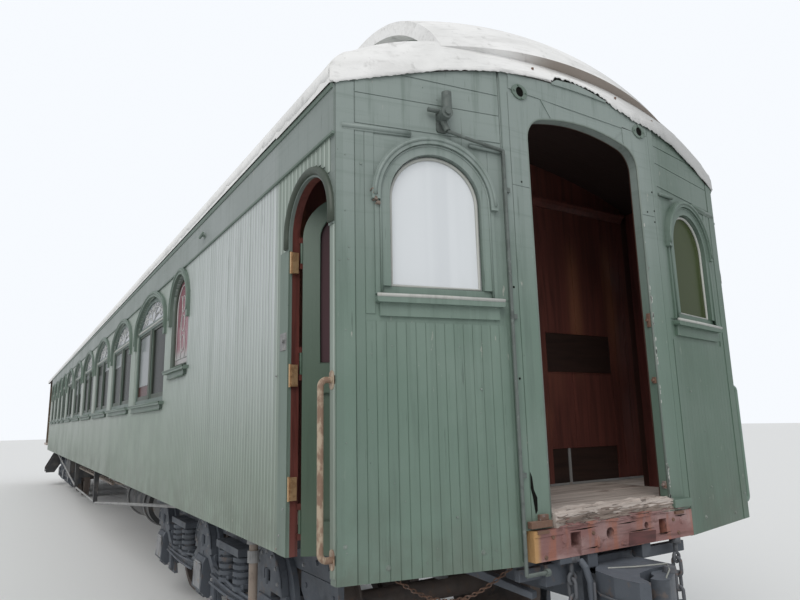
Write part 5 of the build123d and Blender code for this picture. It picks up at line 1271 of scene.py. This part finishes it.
# Round-bar chains in place of the plain ones
LINK_L, LINK_W, LINK_R, LINK_PITCH = 0.110, 0.064, 0.0095, 0.0733
for end in (1, -1):
    for chain_y in (-0.340, 0.450):
        x = end * 11.789
        pile.tube([(x, chain_y, 1.113), (x, chain_y, 1.030)], 0.012)
        eye = [(x, y, z) for y, z in ellipse(chain_y, 1.012, 0.022, 0.024, 14)]
        pile.tube(eye, 0.009, 6, closed=True)
        pile.round((x, chain_y, 1.085), (x, chain_y, 1.112), 0.030, 8)
        for link in range(6):
            z = 1.020 - LINK_L / 2 - link * LINK_PITCH
            lean = 0.10 * sin(link * 1.3 + chain_y)
            flat = (cos(lean), sin(lean), 0) if link % 2 == 0 else (-sin(lean), cos(lean), 0)
            way = Vector(flat)
            bend = LINK_W / 2 - LINK_R
            path = []
            for t in circle(20):
                high = (LINK_L - LINK_W) / 2 * (1 if sin(t) > 0 else -1) + bend * sin(t)
                path.append(Vector((x, chain_y, z + high)) + way * (bend * cos(t)))
            pile.tube(path, LINK_R, 8, closed=True)
chains = pile.place("round_bar_chains", chain_iron, "worn_iron", smooth=True)
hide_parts("safety_chains")

# Hooks, strap, pin and wire at the front coupler; carrier irons below the beam
pile.box((11.700, -0.430, 1.085), (11.812, -0.300, 1.112))
hook = [
    (11.800, -0.29, 1.09), (11.83, -0.288, 1.06), (11.845, -0.28, 1.0), (11.84, -0.27, 0.92),
    (11.82, -0.262, 0.86),
]
pile.tube(hook, 0.017, 10)
pile.box((11.690, -0.480, 0.985), (11.760, -0.340, 1.085))
pile.prism(((0, 0), (0.42, -0.10), (0.42, -0.13), (0, -0.05)), (11.30, -0.62, 1.06), (1, 0.35, 0), UP, 0.05)
for y in (-0.20, 0.20):
    pile.box((11.640, y - 0.035, 1.045), (11.800, y + 0.035, 1.1125))
    pile.box((11.700, y - 0.020, 0.780), (11.740, y + 0.020, 1.050))
pile.box((11.700, -0.22, 0.775), (11.745, 0.22, 0.815))
pile.box((11.70, -0.62, 1.02), (11.735, 0.60, 1.075))
pile.place("coupler_carrier", truck_paint, "truck_grey", bevel=0.004)
PIN = (12.035, 0.055)
pile.round((*PIN, 1.030), (*PIN, 1.060), 0.034, 14, 0.028)
pile.round((*PIN, 0.750), (*PIN, 0.782), 0.026, 12)
for z in (0.86, 0.95):
    pile.tube([(11.80, -0.215, z), (11.90, -0.272, z), (11.99, -0.292, z), (12.10, -0.288, z)], 0.006, 6)
strap_face = Face((11.80, -0.21, 0), (0.75, -0.66, 0), UP, (-0.66, -0.75, 0))
pile.slab(strap_face, rect(-0.02, 0.80, 0.10, 1.00), 0.0, 0.012)
pile.place("coupler_pin", chain_iron, "truck_grey", bevel=0.003)
wire = [
    (11.86, -0.17, 1.048), (11.93, -0.06, 1.052), (12.02, 0.06, 1.066),
    (12.06, 0.02, 1.05), (12.10, -0.06, 1.036), (12.115, -0.075, 0.98),
]
pile.tube(wire, 0.0035, 6)
pile.place("pin_wire", pale_paint, "worn_iron")

# Irons below both platforms
for end in (1, -1):
    low_x, high_x = sorted((end * 10.90, end * 11.60))
    for y in (-0.95, 0.95):
        pile.box((low_x, y - 0.025, 1.060), (high_x, y + 0.025, 1.1298))
pile.place("platform_irons", black_paint, "underframe_black")


# Trucks: castings over the pedestals, box lids, bolts, rods, and caps and plates of the springs
def three_points(p, q, r, count):
    """Points along the circle through three points."""
    (ax, ay), (bx, by), (cx, cy) = p, q, r
    d = 2 * (ax * (by - cy) + bx * (cy - ay) + cx * (ay - by))
    aa, bb, cc = ax**2 + ay**2, bx**2 + by**2, cx**2 + cy**2
    ux = (aa * (by - cy) + bb * (cy - ay) + cc * (ay - by)) / d
    uy = (aa * (cx - bx) + bb * (ax - cx) + cc * (bx - ax)) / d
    start, end = atan2(ay - uy, ax - ux), atan2(cy - uy, cx - ux)
    reach = hypot(ax - ux, ay - uy)
    turns = [start + (end - start) * i / count for i in range(count + 1)]
    return [(ux + reach * cos(t), uy + reach * sin(t)) for t in turns]


TRUCK_Y, LID_Y = 1.085, 1.1795
CASTING_DEEP = 0.055
DOME = three_points((0.245, 0.760), (0, 0.984), (-0.245, 0.760), 16)
BOLT_ARC = three_points((0.195, 0.765), (0, 0.935), (-0.195, 0.765), 6)
for truck, truck_x in TRUCK_XS:
    castings, lids, bolts, rods = [Pile() for part in range(4)]
    for side in (-1, 1):
        face = side_plane(side, TRUCK_Y, truck_x)
        lid_face = side_plane(side, LID_Y, truck_x)
        for axle in (-1, 0, 1):
            a = axle * AXLE_PITCH
            outer = [(a + p, q) for p, q in DOME] + [(a - 0.262, 0.700), (a + 0.262, 0.700)]
            middle = (a, 0.800)
            hole = []
            for p, q in outer:
                t = atan2(q - middle[1], p - middle[0])
                reach = min(0.056 / max(abs(cos(t)), 1e-6), 0.047 / max(abs(sin(t)), 1e-6))
                hole.append((middle[0] + reach * cos(t), middle[1] - 0.02 + reach * sin(t)))
            castings.ring(face, outer, hole, 0.0, CASTING_DEEP)
            castings.bar(face, [(a + p, q - 0.012) for p, q in DOME], CASTING_DEEP, 0.011)
            castings.round(face.at(a, 0.735, 0.05), face.at(a, 0.835, 0.05), 0.018)
            bolts.bolts(face, [(a + p, q) for p, q in BOLT_ARC], CASTING_DEEP, 0.013, 0.010, 6)
            for p in (-0.225, 0.225):
                pedestal = rect(a + p - 0.05, 0.300, a + p + 0.05, 0.705)
                castings.slab(face, pedestal, 0.0, 0.030, taper=0.004)
                bolts.bolts(face, [(a + p, q) for q in (0.36, 0.50, 0.64)], 0.030, 0.015, 0.014, 6)
            low, high = AXLE_Z - 0.100, AXLE_Z + 0.095
            lids.slab(lid_face, rect(a - 0.110, low, a + 0.110, high), 0.0, 0.0095, taper=0.002)
            lids.slab(lid_face, ellipse(a, AXLE_Z - 0.01, 0.080, 0.080, 8), 0.004, 0.0104, taper=0.014)
            lids.bar(lid_face, [(a - 0.085, high + 0.008), (a + 0.085, high + 0.008)], 0.0, 0.010)
        for k in range(13):
            x = -2.40 + 0.40 * k
            if min(abs(x - axle * AXLE_PITCH) for axle in (-1, 0, 1)) > 0.36:
                bolts.bolts(face, [(x, 0.905), (x, 1.005)], -0.035, 0.013, 0.010, 6)
        for end in (-1, 1):
            for level, far in ((0.615, 0.570), (0.560, 0.545), (0.500, 0.520)):
                path = []
                for share in [k / 8 for k in range(9)]:
                    sag = 0.018 * sin(pi * share)
                    path.append((end * (0.30 + 1.00 * share), level + (far - level) * share - sag))
                rods.bar(face, path, 0.050 + 0.020 * (0.615 - level) / 0.115, 0.011, 8)
            for spring_x in (0.620, 0.980):
                s = end * spring_x
                for wide, low, high in ((0.105, 0.812, 0.858), (0.110, 0.590, 0.622)):
                    castings.slab(face, rect(s - wide, low, s + wide, high), -0.050, 0.048, taper=0.006)
                castings.slab(face, rect(s - 0.012, 0.622, s + 0.012, 0.812), 0.028, 0.044)
    body = truck + "_truck"
    castings.place(truck + "_pedestal_castings", truck_paint, "truck_grey", body, bevel=0.006)
    lids.place(truck + "_box_lids", lid_iron, "truck_grey", body, bevel=0.002)
    bolts.place(body + "_bolts", lid_iron, "truck_grey", body)
    rods.place(body + "_rods", truck_paint, "truck_grey", body, smooth=True)

# Frame plates with bolts at the front of the front truck
for side in (-1, 1):
    face = side_plane(side, 1.050)
    outline = [(10.22, 0.870), (10.22, 0.760), (10.34, 0.640), (10.742, 0.700), (10.742, 0.870)]
    pile.slab(face, outline, -0.030, 0.004, taper=0.002)
    spots = ((10.30, 0.80), (10.42, 0.72), (10.56, 0.75), (10.68, 0.80), (10.45, 0.95), (10.62, 0.95))
    pile.bolts(face, spots, 0.0, 0.016, 0.012, 6)
pile.place("front_truck_end_plates", truck_paint, "truck_grey", "front_truck")

# Collars of the drop pipe, hoops and ends of the tank, air pipes and the box doors
TANK = (-0.82, 0.80)
DROP_PIPE = (10.10, -1.320)
for low, high, radius, end_radius in (
    (1.040, 1.129, 0.042, 0.036), (0.930, 1.000, 0.036, 0.036), (0.485, 0.530, 0.034, 0.034),
):
    pile.round((*DROP_PIPE, low), (*DROP_PIPE, high), radius, 14, end_radius)
for x in (4.000, 5.200):
    pile.tube([(x, y, z) for y, z in ellipse(*TANK, 0.285, 0.285, 36)], 0.010, 6, closed=True)
for x, out in ((3.752, -1), (5.448, 1)):
    pile.round((x, *TANK), (x + out * 0.020, *TANK), 0.225, 28, 0.150)
    pile.round((x + out * 0.018, *TANK), (x + out * 0.060, *TANK), 0.030, 12)
pile.place("pipe_fittings", pale_iron, "worn_iron")
for radius, path in (
    (0.017, [(5.5, *TANK), (5.62, *TANK), (5.70, -0.90, 0.84), (5.74, -1.05, 0.95), (5.74, -1.10, 1.12)]),
    (0.014, [(3.7, *TANK), (3.55, -0.85, 0.82), (3.40, -1.0, 0.92), (3.3, -1.14, 0.92), (-2.9, -1.14, 0.92)]),
    (0.015, [(9.4, -0.30, 1.08), (3.0, -0.30, 0.98), (1.7, -0.20, 0.95)]),
    (0.015, [(-0.6, 0.0, 0.95), (-3.0, -0.30, 0.98), (-5.0, -0.30, 1.08)]),
):
    pile.tube(path, radius)
for y in (-0.45, 0.45):
    pile.tube([(-11.6, y, 1.09), (11.5, y, 1.09)], 0.018)
pile.place("air_pipes", pipe_tan, "worn_iron", smooth=True)
for side in (-1, 1):
    face = side_plane(side, 1.320)
    boxes = [(-3.90, -2.76, 2)] + ([(3.10, 3.80, 1)] if side > 0 else [])
    for low_x, high_x, count in boxes:
        for k in range(count):
            a = low_x + (high_x - low_x) * k / count + 0.03
            b = low_x + (high_x - low_x) * (k + 1) / count - 0.03
            pile.slab(face, rect(a, 0.69, b, 1.09), 0.0, 0.014, taper=0.004)
            pile.bar(face, [((a + b) / 2 - 0.05, 0.75), ((a + b) / 2 + 0.05, 0.75)], 0.024, 0.008)
            for c in (a + 0.08, b - 0.08):
                pile.slab(face, rect(c - 0.02, 1.03, c + 0.02, 1.115), 0.0, 0.020)
    for x in (2.3, -1.0):
        for y in (1.340, 0.500):
            pile.box((x - 0.035, side * y - 0.028, 0.575), (x + 0.035, side * y + 0.028, 0.600))
pile.place("box_doors", black_paint, "underframe_black", bevel=0.003)

# Thin hanging chain below the front panel
for k in range(34):
    share = k / 33
    x, y = 11.45 + 0.20 * share, -1.16 + 0.56 * share
    z = 1.085 - 0.13 * sin(pi * share) - 0.02 * share
    along = Vector((0.33, 0.94, -0.02 - 0.35 * cos(pi * share))).normalized()
    over = Vector(UP) if k % 2 else along.cross(Vector(UP)).normalized()
    path = []
    for t in circle(8):
        path.append(Vector((x, y, z)) + along * 0.014 * cos(t) + over * 0.008 * sin(t))
    pile.tube(path, 0.0028, 5, closed=True)
pile.round((11.45, -1.16, 1.085), (11.45, -1.16, 1.102), 0.010)
pile.round((11.65, -0.60, 1.065), (11.65, -0.60, 1.20), 0.008)
pile.place("hanging_chain", rusty, "worn_iron")

# Roof: frames and panes of the deck lights, and seams across the canvas
DECK_PITCH = 0.94
frames, lights = Pile(), Pile()
for number in range(-10, 11):
    x = number * DECK_PITCH
    for side in (-1, 1):
        outer = rect(x - 0.365, 3.815, x + 0.365, 4.045)
        inner = rect(x - 0.335, 3.842, x + 0.335, 4.018)
        frames.ring(side_plane(side, 0.7997), outer, inner, 0.0, 0.014)
        face = side_plane(side, 0.785)
        lights.slab(face, rect(x - 0.334, 3.843, x + 0.334, 4.017), 0.0, 0.004)
        lights.slab(face, rect(x - 0.008, 3.843, x + 0.008, 4.017), 0.004, 0.010)
frames.place("deck_light_frames", trim_green, "door_green")
lights.place("deck_lights", lead_glass, "milk_glass")
SEAM_HALF, SEAM_RISE = 0.9, 0.14
SEAM_R = (SEAM_HALF**2 + SEAM_RISE**2) / (2 * SEAM_RISE)
for number in range(9):
    x = -8.8 + number * 2.35
    rows = []
    for off, lift in ((-0.022, -0.002), (-0.012, 0.004), (0.012, 0.004), (0.022, -0.002)):
        ys = [-SEAM_HALF + 2 * SEAM_HALF * i / 24 for i in range(25)]
        rows.append([(x + off, y, 4.326 - SEAM_R + sqrt(SEAM_R**2 - y**2) + lift) for y in ys])
    pile.sheet(rows, (0, 0, -0.003))
pile.place("canvas_seams", canvas, "canvas", smooth=True)

# Plates on the treads of the rear steps
for side in (-1, 1):
    for tread in range(4):
        z = 0.450 + 0.215 * tread + 0.035
        y = -1.470 + 0.130 * tread
        low_y, high_y = sorted((side * -y, side * -(y + 0.045)))
        pile.box((-10.17, low_y, z), (-9.43, high_y, z + 0.004))
pile.place("step_treads", pale_iron, "worn_iron")

# Camera at the photograph's place
right = Vector((0.5228, 0.8522, -0.0215)).normalized()
up = Vector((0.1727, -0.0811, 0.9816)).normalized()
back = right.cross(up).normalized()
turn = Matrix((right, up, back)).transposed().to_4x4()
lens = bpy.data.cameras.new("view")
lens.lens = 28.385
lens.sensor_width = 36.0
lens.clip_end = 300.0
camera = bpy.data.objects.new("view", lens)
camera.matrix_world = Matrix.Translation((14.0855, -2.6864, 1.7577)) @ turn
bpy.context.scene.collection.objects.link(camera)
bpy.context.scene.camera = camera

# Floor, sky and one broad soft lamp
pile.prism(rect(-120, -120, 120, 120), (0, 0, -0.02), (1, 0, 0), (0, 1, 0), 0.0199)
pile.place("floor", floor_paint, "canvas")

sky = bpy.data.worlds.new("sky")
sky.use_nodes = True
bpy.context.scene.world = sky
tree = sky.node_tree
wash = tree.nodes["Background"]
wash.inputs["Color"].default_value = (0.93, 0.96, 1.0, 1.0)
rays = tree.nodes.new("ShaderNodeLightPath")
seen = tree.nodes.new("ShaderNodeMath")
seen.operation = "MAXIMUM"
tree.links.new(rays.outputs["Is Camera Ray"], seen.inputs[0])
tree.links.new(rays.outputs["Is Transmission Ray"], seen.inputs[1])
level = tree.nodes.new("ShaderNodeMapRange")
level.inputs["To Min"].default_value = 0.75
level.inputs["To Max"].default_value = 1.0
tree.links.new(seen.outputs[0], level.inputs["Value"])
tree.links.new(level.outputs["Result"], wash.inputs["Strength"])

sun = bpy.data.lights.new("sun", "SUN")
sun.energy = 1.3
sun.angle = radians(40)
sun.color = (1.0, 0.98, 0.94)
lamp = bpy.data.objects.new("sun", sun)
lamp.rotation_euler = Vector((0.75, -0.75, 0.9)).to_track_quat("Z", "Y").to_euler()
bpy.context.scene.collection.objects.link(lamp)

bpy.context.scene.view_settings.view_transform = "Standard"
